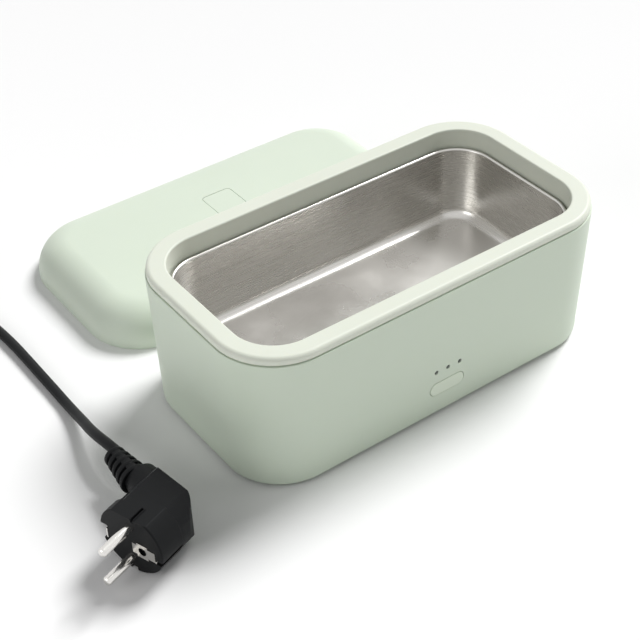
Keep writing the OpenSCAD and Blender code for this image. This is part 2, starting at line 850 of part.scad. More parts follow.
// They run under the pad and rise round its end to the heater block
module heater_wires() {
    color([0.7, 0.16, 0.12]) at_box() for (sy = [-1, 1])
        tube(smooth_path([
            [heater_wire_from, sy * wire_side, wire_z - wire_gap],
            [between(heater_wire_from, heater_end, 0.12), sy * wire_side, wire_z],
            [between(heater_wire_from, heater_end, 0.39), sy * (wire_side + wire_d), wire_z],
            [between(heater_wire_from, heater_end, 0.72), sy * (wire_side + wire_d),
             wire_z + wire_gap],
            [heater_end - wire_d / 2, sy * (wire_side + wire_d / 2), wire_z + 1.5 * wire_d],
            [heater_end - 4 * wire_d, sy * wire_side, strap_z - 1.2 * wire_d],
            [heater_end - 3 * wire_d, sy * (wire_side - wire_d / 2), heater_z + 2 * wire_gap],
            [heater_end - wire_gap, sy * (wire_side - wire_d / 2), heater_z + wire_d]],
            wire_steps), wire_d, 8);
}

// ---- food container ----

container_bottom = plate_top + seat_gap;
bead_z = flange_top + seat_gap + bead_d / 2;
container_top_r = well_r - container_gap;
container_foot_gap = 0.1;
container_bottom_r = well_inner(container_bottom) - container_gap - container_foot_gap;

module container_section(inset) {
    // Solid half-section of the container, shrunk by inset on the inside
    edge_r = container_edge_r - inset;
    low = container_bottom + inset;
    bottom_r = container_bottom_r - inset;
    polygon([[0, low], [bottom_r - edge_r, low], [bottom_r - edge_r, low + edge_r],
             [bottom_r, low + edge_r], [container_top_r - inset, bead_z + inset],
             [0, bead_z + inset]]);
    intersection() {
        translate([bottom_r - edge_r, low + edge_r]) circle(edge_r);
        translate([bottom_r - edge_r, low]) square([edge_r, edge_r]);
    }
}

module food_container() {
    color(steel) at_box() {
        round_outline() {
            difference() {
                container_section(0);
                container_section(steel_t);
            }
            translate([container_top_r + bead_d / 2 - steel_t, bead_z]) circle(bead_d / 2);
        }
        plate_core(container_bottom, container_bottom + steel_t);
    }
}

// ---- lid ----

lid_cavity_r = lid_edge_r - lid_wall;
lid_edge_z = lid_h - lid_edge_r;
lid_edge_x = corner_r - lid_edge_r;
liner_gap = 0.4;
liner_r = lid_edge_x + sqrt(lid_cavity_r * lid_cavity_r
    - pow(liner_z + liner_t - lid_edge_z, 2)) - liner_gap;
gasket_lap = 1.2;
gasket_gap = 0.2;
gasket_low = 2.4;
gasket_r = open_r + gasket_lap;
rib_low = 1;
inner_rib_t = 1.6;
outer_rib_t = 1.2;
liner_post_d = 6;
liner_post_x = 62;
liner_post_y = 20;
lid_chamfer = 0.4;
vent_gap = 0.25;
vent_r = 2.5;
stem_gap = 0.5;

module lid_section(r, straight) {
    translate([0, straight]) square([lid_edge_x, lid_edge_z - straight + r]);
    translate([0, straight]) square([lid_edge_x + r, lid_edge_z - straight]);
    intersection() {
        translate([lid_edge_x, lid_edge_z]) circle(r);
        translate([lid_edge_x, lid_edge_z]) square([r, r]);
    }
}

module at_liner_posts() {
    for (sx = [-1, 1], sy = [-1, 1])
        translate([sx * liner_post_x, sy * liner_post_y, 0]) children();
}

module lid_shell() {
    color(mint) at_lid() difference() {
        union() {
            round_outline() difference() {
                lid_section(lid_edge_r, 0);
                lid_section(lid_cavity_r, -over);
                polygon([[corner_r - lid_chamfer - over, -over], [corner_r + over, -over],
                         [corner_r + over, lid_chamfer + over]]);
            }
            plate_core(lid_h - lid_wall, lid_h);
            at_liner_posts() difference() {
                cylinder_between(liner_z + liner_t, lid_h - lid_wall / 2, liner_post_d);
                cylinder_between(liner_z, liner_z + small_screw_l + over,
                    small_screw_d + 2 * screw_gap);
            }
        }
        translate([0, 0, lid_h - vent_t])
            rounded_plate(vent_w + 2 * vent_gap, vent_l + 2 * vent_gap, vent_r + vent_gap,
                vent_t + over);
        cylinder_between(lid_h - lid_wall - over, lid_h + over, vent_stem_d + 2 * stem_gap);
    }
}

module lid_liner() {
    color(pale) at_lid() difference() {
        union() {
            round_outline() {
                translate([0, liner_z]) square([liner_r, liner_t]);
                translate([gasket_r - gasket_gap - inner_rib_t, rib_low])
                    square([inner_rib_t, liner_z - rib_low + liner_t / 2]);
                translate([liner_r - outer_rib_t, rib_low])
                    square([outer_rib_t, liner_z - rib_low + liner_t / 2]);
            }
            plate_core(liner_z, liner_z + liner_t);
        }
        cylinder_between(0, lid_h, vent_stem_d + 2 * stem_gap);
        at_liner_posts() cylinder_between(0, lid_h, small_screw_d + 4 * screw_gap);
    }
}

bulge_r = 1;
bulge_side = 1.4;

module lid_gasket() {
    color(silicone) at_lid() round_outline() {
        translate([gasket_r, gasket_low]) square([gasket_w, liner_z - gasket_low]);
        for (side = [-1, 1])
            translate([gasket_r + gasket_w / 2 + side * bulge_side, gasket_low]) circle(bulge_r);
    }
}

module liner_screws() {
    color(steel) at_lid() at_liner_posts() translate([0, 0, liner_z])
        screw(small_screw_d, small_head_d, small_head_h, small_screw_l);
}

module vent_cap() {
    color(pale) at_lid() {
        translate([0, 0, lid_h - vent_t]) rounded_plate(vent_w, vent_l, vent_r, vent_t);
        cylinder_between(liner_z + liner_t + liner_gap, lid_h - vent_t / 2, vent_stem_d);
    }
}

vent_seal_h = 2.3;
vent_seal_w = 3;

module vent_seal() {
    low = liner_z + liner_t + seat_gap;
    color([0.75, 0.3, 0.22]) at_lid() difference() {
        cylinder_between(low, low + vent_seal_h, vent_stem_d + 2 * vent_seal_w);
        cylinder_between(0, lid_h, vent_stem_d);
    }
}

// ---- mains lead ----

// Places on the table, chosen by hand, in the frame of the whole object
plug_at = [-182, -122, 0];
plug_z = plug_d / 2;
relief_root = [-157.4, -89.5, 18.5];
relief_l = 21.5;
coil_low = cord_d / 2;
cord_route = [
    [-158.2, -60, 18.2], [-158.6, -50, 16.4], [-157.8, -39, 12.9], [-156.3, -29, 9.3],
    [-155, -18, 5.8], [-154.1, -6, coil_low + 0.6], [-153.8, 8, coil_low],
    [-153.8, 24, coil_low], [-153.8, 40, coil_low], [-154, 56, coil_low],
    [-155, 72, coil_low], [-156.8, 88, coil_low], [-158.8, 103, coil_low]];
coil_high = coil_low + coil_pitch;
coil_half = coil_turns + 0.25;
coil_r = 40;
coil_at = [-200, 122, 0];
coil_start_r = coil_r - coil_half * coil_pitch;
coil_end_l = 1.6 * cord_d;
connector_at = [coil_at[0] - coil_r, coil_at[1] - coil_end_l, coil_high];
connector_relief_l = 30;
connector_l = 34;
connector_h = 2 * coil_high;
rings_per_turn = 24;

// Radius and height along the coil: two layers, with the climb where the spiral reverses
function coil_step(s) = abs(s) < 0.25 ? 2 * s * s + 0.125 : abs(s);
function climb(u) = u * u * (3 - 2 * u);
function coil_z(s) =
    coil_low + coil_pitch * climb(min(max((s + 0.25) / 0.5, 0), 1));
function coil_point(s) =
    let (r = coil_start_r + coil_pitch * coil_step(s), a = 360 * (s + coil_half))
    coil_at + [r * cos(a), r * sin(a), coil_z(s)];
coil_rings = rings_per_turn * 2 * coil_half;
coil_path = concat(
    [coil_at + [coil_r, -cord_d, coil_low]],
    [for (i = [0 : coil_rings]) coil_point(-coil_half + i / rings_per_turn)],
    [connector_at]);
third_turn = rings_per_turn / 3;
coil_gap = min([for (i = [0 : len(coil_path) - 1],
                     j = [i + third_turn : 1 : len(coil_path) - 1])
    norm(coil_path[i] - coil_path[j])]) - cord_d;
function path_length(p) = len(p) < 2 ? 0
    : sum_list([for (i = [1 : len(p) - 1]) norm(p[i] - p[i - 1])]);
function sum_list(v, i = 0) = i < len(v) ? v[i] + sum_list(v, i + 1) : 0;
run_path = concat([relief_root + [0, relief_l, 0]], smooth_path(cord_route, 2),
    [coil_path[0]]);
echo(least_gap_in_coil = coil_gap);
echo(cord_length = path_length(run_path) + path_length(coil_path));

module at_plug() {
    translate([plug_at[0], plug_at[1], plug_z]) rotate([0, 0, plug_turn]) children();
}

nose_l = 15;
back_h = 30;
pin_root_l = 8;
pin_root_d = 4;
pin_root_gap = 0.05;
pin_tip_l = 1.6;
pin_tip_taper = 1;
earth_y = 7;
earth_z = -2;
earth_hole_d = 4.8;
earth_depth = 12;
clip_slot_l = 15;
clip_slot_depth = 4.7;
clip_slot_h = 10;
plug_top = 15.6;
guide = [9, 4, 2.7];
top_guide = [8.6, 1.6, 2];
top_guide_y = 2.3;
shoulder_x = 8;
recess_r = 16.9;
recess_turn = 49.4;
neck_l = 14;
neck_d = 21;
neck_rim = 0.3;
plug_relief_d = 16.2;
plug_relief_end_d = 10;
grip_step = 0.2;
// The grip behind the nose, seen from above
grip_outline = [[-12, -13], [-12, 19], [-18.5, 19.5], [-29, 13], [-34.5, -15], [-30, -20],
                [-14, -17]];

// Round like the nose on the side away from the cord, and flat above and below
module plug_grip() {
    reach = 40;
    intersection() {
        translate([0, 0, -back_h / 2]) linear_extrude(back_h) polygon(grip_outline);
        union() {
            rotate([0, -90, 0]) cylinder(h = reach, d = plug_d - 2 * grip_step);
            translate([-reach, -reach, -reach / 2]) cube(reach);
        }
    }
}

module plug_cuts() {
    for (side = [-1, 1]) {
        translate([-clip_slot_l, side * plug_d / 2 - clip_slot_depth, earth_z - clip_slot_h / 2])
            cube([clip_slot_l + over, 2 * clip_slot_depth, clip_slot_h]);
        translate([-pin_root_l - pin_root_gap, 0, side * pin_pitch / 2]) rotate([0, 90, 0])
            cylinder(h = pin_root_l + over, d = pin_root_d + 2 * pin_root_gap);
    }
    translate([-guide[0], -guide[1] / 2, -plug_d / 2 - guide[2]])
        cube([guide[0] + over, guide[1], 2 * guide[2]]);
    translate([-nose_l - over, -plug_d / 2, plug_top]) cube(plug_d);
    translate([-top_guide[0], top_guide_y - top_guide[1] / 2, plug_top - top_guide[2]])
        cube(top_guide + [over, 0, over]);
    translate([-earth_depth, earth_y, earth_z]) rotate([0, 90, 0])
        cylinder(h = earth_depth + over, d = earth_hole_d);
    rotate([-recess_turn, 0, 0]) translate([-plug_d - shoulder_x, -plug_d / 2, recess_r])
        cube(plug_d);
}

module plug_body() {
    color(black) difference() {
        union() {
            at_plug() {
                rotate([0, -90, 0]) cylinder(h = nose_l, d = plug_d);
                plug_grip();
            }
            translate([relief_root[0], relief_root[1] - neck_l, plug_z]) rotate([-90, 0, 0])
                cylinder(h = neck_l, d1 = neck_d, d2 = plug_relief_d + 2 * neck_rim);
        }
        at_plug() plug_cuts();
    }
}

module plug_pins() {
    color(steel) at_plug() for (side = [-1, 1])
        translate([0, 0, side * pin_pitch / 2]) rotate([0, 90, 0]) {
            translate([0, 0, -pin_root_l]) cylinder(h = pin_root_l + over, d = pin_root_d);
            cylinder(h = pin_l - pin_tip_l, d = pin_d);
            translate([0, 0, pin_l - pin_tip_l])
                cylinder(h = pin_tip_l, d1 = pin_d, d2 = pin_d - 2 * pin_tip_taper);
        }
}

clip = [12.3, 1, 8];
earth_plate = [0.6, 6.4, 8.6];
earth_bar_h = 6;
earth_bar_start = 1.2;

// Two strips in the side slots, one of them joined to the plate round the earth hole
module plug_earth_clips() {
    clip_y = plug_d / 2 - clip_slot_depth;
    color(brass) at_plug() for (side = [0, 1]) mirror([0, side, 0])
        translate([-earth_depth, clip_y, earth_z - clip[2] / 2]) cube(clip);
    color(brass) at_plug() difference() {
        union() {
            translate([0, earth_y - earth_plate[1] / 2, earth_z - earth_plate[2] / 2])
                cube(earth_plate);
            translate([0, earth_bar_start, earth_z - earth_bar_h / 2])
                cube([earth_plate[0], clip_y + clip[1] - earth_bar_start, earth_bar_h]);
        }
        translate([-over, earth_y, earth_z]) rotate([0, 90, 0])
            cylinder(h = 2 * over, d = earth_hole_d - 0.2);
    }
}

// A tapered sleeve of rings, from wide to narrow along +Z
module ribbed_relief(l, wide, narrow) {
    rings = 5;
    ring_share = 0.62;
    wide_depth = 3.4;
    narrow_depth = 2.4;
    ring_taper = 0.8;
    step = l / (rings - 1 + ring_share);
    cylinder(h = l, d1 = wide - wide_depth, d2 = narrow - narrow_depth);
    for (i = [0 : rings - 1]) {
        ring_d = between(wide, narrow, i / rings);
        translate([0, 0, i * step])
            cylinder(h = step * ring_share, d1 = ring_d, d2 = ring_d - ring_taper);
    }
}

module plug_relief() {
    color(black) translate(relief_root) rotate([-90, 0, 0])
        ribbed_relief(relief_l, plug_relief_d, plug_relief_end_d);
}

module cord_run() {
    color(black) tube(run_path, cord_d, 8);
}

module cord_coil() {
    color(black) tube(coil_path, cord_d, 6);
}

tie_w = 12;
tie_t = 0.8;
tie_slack = 5;
tie_gap = 0.1;

module cord_tie() {
    outer = coil_r + cord_d / 2 + tie_gap;
    inner = coil_start_r - tie_slack;
    h = coil_high + cord_d / 2 + tie_t + over;
    color([0.16, 0.16, 0.17])
        translate([coil_at[0] - tie_w / 2, coil_at[1] + (outer + inner) / 2, h / 2])
        rotate([90, 0, 90]) linear_extrude(tie_w) difference() {
            rounded_outline(outer - inner, h, 2.5);
            rounded_outline(outer - inner - 2 * tie_t, h - 2 * tie_t, 2.5 - tie_t);
        }
}

connector_relief_d = 14.4;
connector_relief_end_d = 9.4;
connector_nose_l = 15;
connector_side = 1.5;
contact = [2.5, 4.4, 9];
contact_slot = 1.1;
contact_gap = 0.05;
contact_depth = 13;
nose_w = inlet_w - 2 * connector_fit;
nose_h = inlet_h - 2 * connector_fit - 0.2;
nose_chamfer = inlet_chamfer - 0.3;

module connector_relief() {
    color(black) translate(connector_at - [0, connector_relief_l, 0]) rotate([-90, 0, 0])
        ribbed_relief(connector_relief_l, connector_relief_d, connector_relief_end_d);
}

module at_connector() {
    translate(connector_at - [0, connector_relief_l, 0]) rotate([90, 0, 0]) children();
}

module connector_body() {
    grip_l = connector_l - connector_nose_l;
    slot = [contact[0] + 2 * contact_gap, contact[1] + 2 * contact_gap, contact_depth + over];
    color(black) at_connector() difference() {
        union() {
            linear_extrude(grip_l) rounded_outline(nose_w + 2 * connector_side, connector_h, 4);
            translate([0, 0, grip_l - over]) linear_extrude(connector_nose_l + over)
                connector_outline(nose_w, nose_h, nose_chamfer);
        }
        for (p = contact_places)
            translate([p[0] - slot[0] / 2, p[1] - slot[1] / 2, connector_l - contact_depth])
                cube(slot);
    }
}

// Each contact is a forked strip, its back resting on the end of its slot
module connector_contacts() {
    color(brass) at_connector() for (p = contact_places)
        translate([p[0] - contact[0] / 2, p[1] - contact[1] / 2, connector_l - contact_depth])
            difference() {
                cube(contact);
                translate([(contact[0] - contact_slot) / 2, -over, over])
                    cube([contact_slot, contact[1] + 2 * over, contact[2]]);
            }
}

outer_shell();
rim_collar();
inner_well();
base_cover();
rubber_feet();
base_screws();
rim_screws();
heating_plate();
plate_seal();
heater_block();
heater_straps();
strap_screws();
thermostat();
thermal_fuse();
insulation_pad();
control_board();
board_screws();
status_lights();
light_windows();
tact_switch();
power_board();
relay();
inlet_housing();
inlet_pins();
mains_wires();
heater_wires();
power_button();
switch_plunger();
food_container();
lid_shell();
lid_liner();
lid_gasket();
liner_screws();
vent_cap();
vent_seal();
plug_body();
plug_pins();
plug_earth_clips();
plug_relief();
cord_run();
cord_coil();
cord_tie();
connector_relief();
connector_body();
connector_contacts();
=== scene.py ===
"""A heated lunch box with its lid taken off and its mains lead beside it."""
import math

import bmesh
import bpy
from mathutils import Matrix, Vector


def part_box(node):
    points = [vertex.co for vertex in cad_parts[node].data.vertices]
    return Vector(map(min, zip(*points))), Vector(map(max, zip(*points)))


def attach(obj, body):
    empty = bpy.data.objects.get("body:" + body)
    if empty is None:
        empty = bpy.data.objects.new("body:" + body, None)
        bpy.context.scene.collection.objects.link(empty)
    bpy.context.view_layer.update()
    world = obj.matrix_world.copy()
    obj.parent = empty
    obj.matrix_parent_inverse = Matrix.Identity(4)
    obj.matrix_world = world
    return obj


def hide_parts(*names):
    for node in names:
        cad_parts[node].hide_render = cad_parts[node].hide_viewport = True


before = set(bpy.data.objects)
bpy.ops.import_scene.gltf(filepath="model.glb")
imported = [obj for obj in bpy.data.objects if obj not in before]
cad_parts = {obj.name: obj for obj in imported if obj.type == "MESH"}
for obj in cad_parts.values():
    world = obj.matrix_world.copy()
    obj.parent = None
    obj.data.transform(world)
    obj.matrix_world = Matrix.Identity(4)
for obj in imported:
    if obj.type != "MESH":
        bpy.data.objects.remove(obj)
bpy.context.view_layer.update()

MM = 0.001
NEAR = 0.01 * MM
MERGE_WITHIN = 0.002 * MM
scene = bpy.context.scene

# ---- sizes that the box and the lid share ----

SHELL_LOW, SHELL_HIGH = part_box("outer_shell")
LID_LOW, LID_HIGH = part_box("lid_shell")
RIM_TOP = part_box("rim_collar")[1].z
BOX_AT = (SHELL_LOW + SHELL_HIGH) / 2
LID_AT = (LID_LOW + LID_HIGH) / 2
CORNER_R = 34.4 * MM
CORNER_X = (SHELL_HIGH.x - SHELL_LOW.x) / 2 - CORNER_R
CORNER_Y = (SHELL_HIGH.y - SHELL_LOW.y) / 2 - CORNER_R
CORNER_STEPS = 20
SEAM_Z = SHELL_HIGH.z
DRAFT = 2.2 * MM
SHELL_WALL = 2.6 * MM
RIM_WIDTH = 11 * MM
OPENING_R = CORNER_R - RIM_WIDTH
SKIRT_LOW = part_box("rim_collar")[0].z


def shell_r(z):
    """How far the shell's face lies from the corner arcs' centres at a height."""
    return CORNER_R - DRAFT * (SEAM_Z - z) / (SEAM_Z - SHELL_LOW.z)


# ---- camera ----

CAMERA_AT = Vector((-362.607, -532.495, 500.286)) * MM
CAMERA_YAW = math.radians(35.19)
CAMERA_PITCH = math.radians(38.95)
CAMERA_ROLL = math.radians(-1.71)
FOCAL_PIXELS = 1417.97
IMAGE_PIXELS = 640
SENSOR = 36


def place_camera():
    forward = Vector((math.sin(CAMERA_YAW) * math.cos(CAMERA_PITCH),
                      math.cos(CAMERA_YAW) * math.cos(CAMERA_PITCH),
                      -math.sin(CAMERA_PITCH)))
    level = Vector((math.cos(CAMERA_YAW), -math.sin(CAMERA_YAW), 0))
    up = level.cross(forward)
    side = level * math.cos(CAMERA_ROLL) + up * math.sin(CAMERA_ROLL)
    top = up * math.cos(CAMERA_ROLL) - level * math.sin(CAMERA_ROLL)
    data = bpy.data.cameras.new("camera")
    data.sensor_width = SENSOR
    data.lens = FOCAL_PIXELS / IMAGE_PIXELS * SENSOR
    data.clip_start = 0.01
    camera = bpy.data.objects.new("camera", data)
    scene.collection.objects.link(camera)
    turn = Matrix((side, top, -forward)).transposed().to_4x4()
    camera.matrix_world = Matrix.Translation(CAMERA_AT) @ turn
    scene.camera = camera


# ---- shared ways of working ----

def edit():
    bpy.ops.object.mode_set(mode="EDIT")
    bpy.ops.mesh.select_mode(type="VERT")


def leave_edit():
    bpy.ops.object.mode_set(mode="OBJECT")


def only(piece):
    """Makes one piece the selected and active one."""
    bpy.ops.object.select_all(action="DESELECT")
    piece.select_set(True)
    bpy.context.view_layer.objects.active = piece


def added(name):
    """The primitive that has just been added, under its name."""
    piece = bpy.context.object
    piece.name = name
    piece.data.name = name
    return piece


def middle(element):
    if isinstance(element, bmesh.types.BMVert):
        return element.co
    if isinstance(element, bmesh.types.BMEdge):
        return (element.verts[0].co + element.verts[1].co) / 2
    return element.calc_center_median()


def pick(kind, test):
    """Selects, in edit mode, the VERTs, EDGEs or FACEs that pass the test."""
    bpy.ops.mesh.select_mode(type=kind)
    bpy.ops.mesh.select_all(action="DESELECT")
    data = bpy.context.object.data
    mesh = bmesh.from_edit_mesh(data)
    for element in {"VERT": mesh.verts, "EDGE": mesh.edges, "FACE": mesh.faces}[kind]:
        if test(element):
            element.select_set(True)
    mesh.select_flush_mode()
    bmesh.update_edit_mesh(data)


def rise(edge):
    """How far an edge climbs."""
    return abs((edge.verts[0].co - edge.verts[1].co).z)


def bevel_edges(test, width, segments=4):
    pick("EDGE", test)
    bpy.ops.mesh.bevel(offset=width, segments=segments, affect="EDGES", clamp_overlap=True)


def sharp(angle=30):
    """A test for edges that fold by more than the angle."""
    limit = math.radians(angle)
    return lambda e: len(e.link_faces) == 2 and e.calc_face_angle(0) > limit


def close_mesh():
    """Merges doubles and turns all faces outwards, in edit mode."""
    bpy.ops.mesh.select_all(action="SELECT")
    bpy.ops.mesh.remove_doubles(threshold=MERGE_WITHIN)
    bpy.ops.mesh.normals_make_consistent(inside=False)


def cut(piece, *cutters, operation="DIFFERENCE"):
    """Cuts pieces away or, with another operation, adds or intersects them, and cleans up."""
    for cutter in cutters:
        only(piece)
        modifier = piece.modifiers.new("cut", "BOOLEAN")
        modifier.operation = operation
        modifier.object = cutter
        modifier.solver = "EXACT"
        bpy.ops.object.modifier_apply(modifier="cut")
        bpy.data.objects.remove(cutter)
    edit()
    close_mesh()
    bpy.ops.mesh.dissolve_degenerate(threshold=MERGE_WITHIN)
    leave_edit()


def settle(piece, angle=30):
    """Applies the piece's place and gives it smooth faces with crisp edges."""
    only(piece)
    bpy.ops.object.transform_apply(location=True, rotation=True, scale=True)
    bpy.ops.object.shade_smooth_by_angle(angle=math.radians(angle))
    modifier = piece.modifiers.new("weighted", "WEIGHTED_NORMAL")
    modifier.keep_sharp = True
    bpy.ops.object.modifier_apply(modifier="weighted")


def dress(piece, body, material, slot, *nodes):
    """Gives a finished piece its material and its body, and hides the CAD nodes that it stands
    for.
    """
    piece.data.materials.clear()
    piece.data.materials.append(material)
    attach(piece, body)
    if nodes:
        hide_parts(*nodes)


def join_all(name, pieces):
    """Joins pieces into the first of them."""
    only(pieces[0])
    for piece in pieces:
        piece.select_set(True)
    bpy.ops.object.join()
    joined = bpy.context.object
    joined.name = name
    return joined


def arc(x, z, r, first, last, steps=8):
    """Points on an arc of a cross-section, with angles in degrees from the outward side."""
    turns = [math.radians(first + (last - first) * i / steps) for i in range(steps + 1)]
    return [(x + r * math.cos(a), z + r * math.sin(a)) for a in turns]


def draw_line(name, start, moves):
    """Draws a chain of vertices from a point by extrusion, and stays in edit mode."""
    bpy.ops.object.select_all(action="DESELECT")
    bpy.ops.mesh.primitive_plane_add(size=MM, location=start)
    piece = added(name)
    edit()
    bpy.ops.mesh.merge(type="CENTER")
    for move in moves:
        bpy.ops.mesh.extrude_region_move(TRANSFORM_OT_translate={"value": move})
    return piece


def sweep_outline(name, section, centre):
    """Runs a cross-section round the outline that box and lid share.

    The section's points are (distance from the corner arcs' centres, height). It is drawn
    at one corner, extruded along each side and spun round each corner. Stays in edit mode.
    """
    first_r, first_z = section[0]
    start = (centre.x + CORNER_X + first_r, centre.y - CORNER_Y, first_z)
    moves = [(r1 - r0, 0, z1 - z0) for (r0, z0), (r1, z1) in zip(section, section[1:])]
    piece = draw_line(name, start, moves)
    bpy.ops.mesh.select_all(action="SELECT")
    corners = [(1, 1), (-1, 1), (-1, -1), (1, -1)]
    sides = [(0, 2 * CORNER_Y), (-2 * CORNER_X, 0), (0, -2 * CORNER_Y), (2 * CORNER_X, 0)]
    for (sx, sy), (dx, dy) in zip(corners, sides):
        bpy.ops.mesh.extrude_region_move(TRANSFORM_OT_translate={"value": (dx, dy, 0)})
        bpy.ops.mesh.spin(
            steps=CORNER_STEPS, angle=math.pi / 2, axis=(0, 0, -1),
            center=(centre.x + sx * CORNER_X, centre.y + sy * CORNER_Y, 0))
    close_mesh()
    return piece


def fill_middle():
    """Closes the open rectangles in the middle of a swept plate, in edit mode."""
    data = bpy.context.object.data
    heights = {round(v.co.z / MM, 3) for e in bmesh.from_edit_mesh(data).edges
               if e.is_boundary for v in e.verts}
    for height in heights:
        pick("EDGE", lambda e: e.is_boundary and abs(middle(e).z / MM - height) * MM < NEAR)
        bpy.ops.mesh.edge_face_add()
    close_mesh()


def block(name, size, centre):
    """A plain block to cut with or to shape further, its lengths along X, Y and Z."""
    bpy.ops.object.select_all(action="DESELECT")
    bpy.ops.mesh.primitive_cube_add(size=1, location=centre, scale=size)
    piece = added(name)
    bpy.ops.object.transform_apply(location=True, scale=True)
    return piece


def rounded_block(name, size, centre, corner_r, segments=8):
    """A block with rounded upright edges."""
    piece = block(name, size, centre)
    edit()
    bevel_edges(lambda e: rise(e) > size[2] / 2, corner_r, segments)
    leave_edit()
    return piece


def pill_block(name, length, height, depth, front):
    """A block with round ends along X, its front face at a point, facing -Y; in edit mode."""
    bpy.ops.object.select_all(action="DESELECT")
    bpy.ops.mesh.primitive_cylinder_add(
        vertices=48, radius=height / 2, depth=depth,
        location=(front[0], front[1] + depth / 2, front[2]), rotation=(math.pi / 2, 0, 0))
    piece = added(name)
    bpy.ops.object.transform_apply(location=True, rotation=True)
    edit()
    shift = (length - height) / 2
    for side in (-1, 1):
        pick("VERT", lambda v: (v.co.x - front[0]) * side > NEAR)
        bpy.ops.transform.translate(value=(side * shift, 0, 0))
    return piece


def rod(name, radius, depth, centre, axis="Z", vertices=48, tip_radius=None):
    """A round bar or cone along an axis; leaves it in object mode."""
    bpy.ops.object.select_all(action="DESELECT")
    turn = {"Z": (0, 0, 0), "Y": (math.pi / 2, 0, 0), "X": (0, math.pi / 2, 0)}[axis]
    bpy.ops.mesh.primitive_cone_add(
        vertices=vertices, radius1=radius, radius2=radius if tip_radius is None else tip_radius,
        depth=depth, location=centre, rotation=turn)
    piece = added(name)
    bpy.ops.object.transform_apply(location=True, rotation=True)
    return piece


# ---- shared effects ----

def new_group(name, inputs, outputs):
    tree = bpy.data.node_groups.new(name, "ShaderNodeTree")
    for label, kind, value in inputs:
        socket = tree.interface.new_socket(label, in_out="INPUT", socket_type=kind)
        socket.default_value = value
    for label, kind in outputs:
        tree.interface.new_socket(label, in_out="OUTPUT", socket_type=kind)
    return tree, tree.nodes.new("NodeGroupInput"), tree.nodes.new("NodeGroupOutput")


FLOAT = "NodeSocketFloat"
VECTOR = "NodeSocketVector"
COLOUR = "NodeSocketColor"


def noise(tree, vector, scale, detail=4.0, roughness=0.5):
    node = tree.nodes.new("ShaderNodeTexNoise")
    node.inputs["Scale"].default_value = scale
    node.inputs["Detail"].default_value = detail
    node.inputs["Roughness"].default_value = roughness
    tree.links.new(vector, node.inputs["Vector"])
    return node


def make_moulded_grain():
    """The fine spark-eroded texture of moulded plastic and rubber, as a bumped normal."""
    tree, into, out = new_group(
        "moulded_grain", [("Grain", FLOAT, 2200.0), ("Depth", FLOAT, 0.05)],
        [("Normal", VECTOR)])
    place = tree.nodes.new("ShaderNodeTexCoord").outputs["Object"]
    fine = noise(tree, place, 1.0, 3.0)
    tree.links.new(into.outputs["Grain"], fine.inputs["Scale"])
    wave = noise(tree, place, 26.0, 2.0)
    mix = tree.nodes.new("ShaderNodeMath")
    mix.operation = "MULTIPLY_ADD"
    mix.inputs[1].default_value = 2.2
    tree.links.new(wave.outputs["Fac"], mix.inputs[0])
    tree.links.new(fine.outputs["Fac"], mix.inputs[2])
    bump = tree.nodes.new("ShaderNodeBump")
    bump.inputs["Distance"].default_value = 0.1 * MM
    tree.links.new(into.outputs["Depth"], bump.inputs["Strength"])
    tree.links.new(mix.outputs[0], bump.inputs["Height"])
    tree.links.new(bump.outputs["Normal"], out.inputs["Normal"])
    return tree


def make_soft_mottle():
    """Slow, faint differences of colour and gloss, from moulding and handling."""
    tree, into, out = new_group(
        "soft_mottle",
        [("Low Colour", COLOUR, (0.5, 0.5, 0.5, 1)), ("High Colour", COLOUR, (0.6, 0.6, 0.6, 1)),
         ("Low Roughness", FLOAT, 0.4), ("High Roughness", FLOAT, 0.5), ("Size", FLOAT, 18.0)],
        [("Colour", COLOUR), ("Roughness", FLOAT)])
    place = tree.nodes.new("ShaderNodeTexCoord").outputs["Object"]
    slow = noise(tree, place, 1.0, 5.0, 0.55)
    tree.links.new(into.outputs["Size"], slow.inputs["Scale"])
    blend = tree.nodes.new("ShaderNodeMix")
    blend.data_type = "RGBA"
    tree.links.new(slow.outputs["Fac"], blend.inputs["Factor"])
    tree.links.new(into.outputs["Low Colour"], blend.inputs[6])
    tree.links.new(into.outputs["High Colour"], blend.inputs[7])
    gloss = tree.nodes.new("ShaderNodeMapRange")
    gloss.inputs["From Min"].default_value = 0.3
    gloss.inputs["From Max"].default_value = 0.7
    tree.links.new(slow.outputs["Fac"], gloss.inputs["Value"])
    tree.links.new(into.outputs["Low Roughness"], gloss.inputs["To Min"])
    tree.links.new(into.outputs["High Roughness"], gloss.inputs["To Max"])
    tree.links.new(blend.outputs[2], out.inputs["Colour"])
    tree.links.new(gloss.outputs["Result"], out.inputs["Roughness"])
    return tree


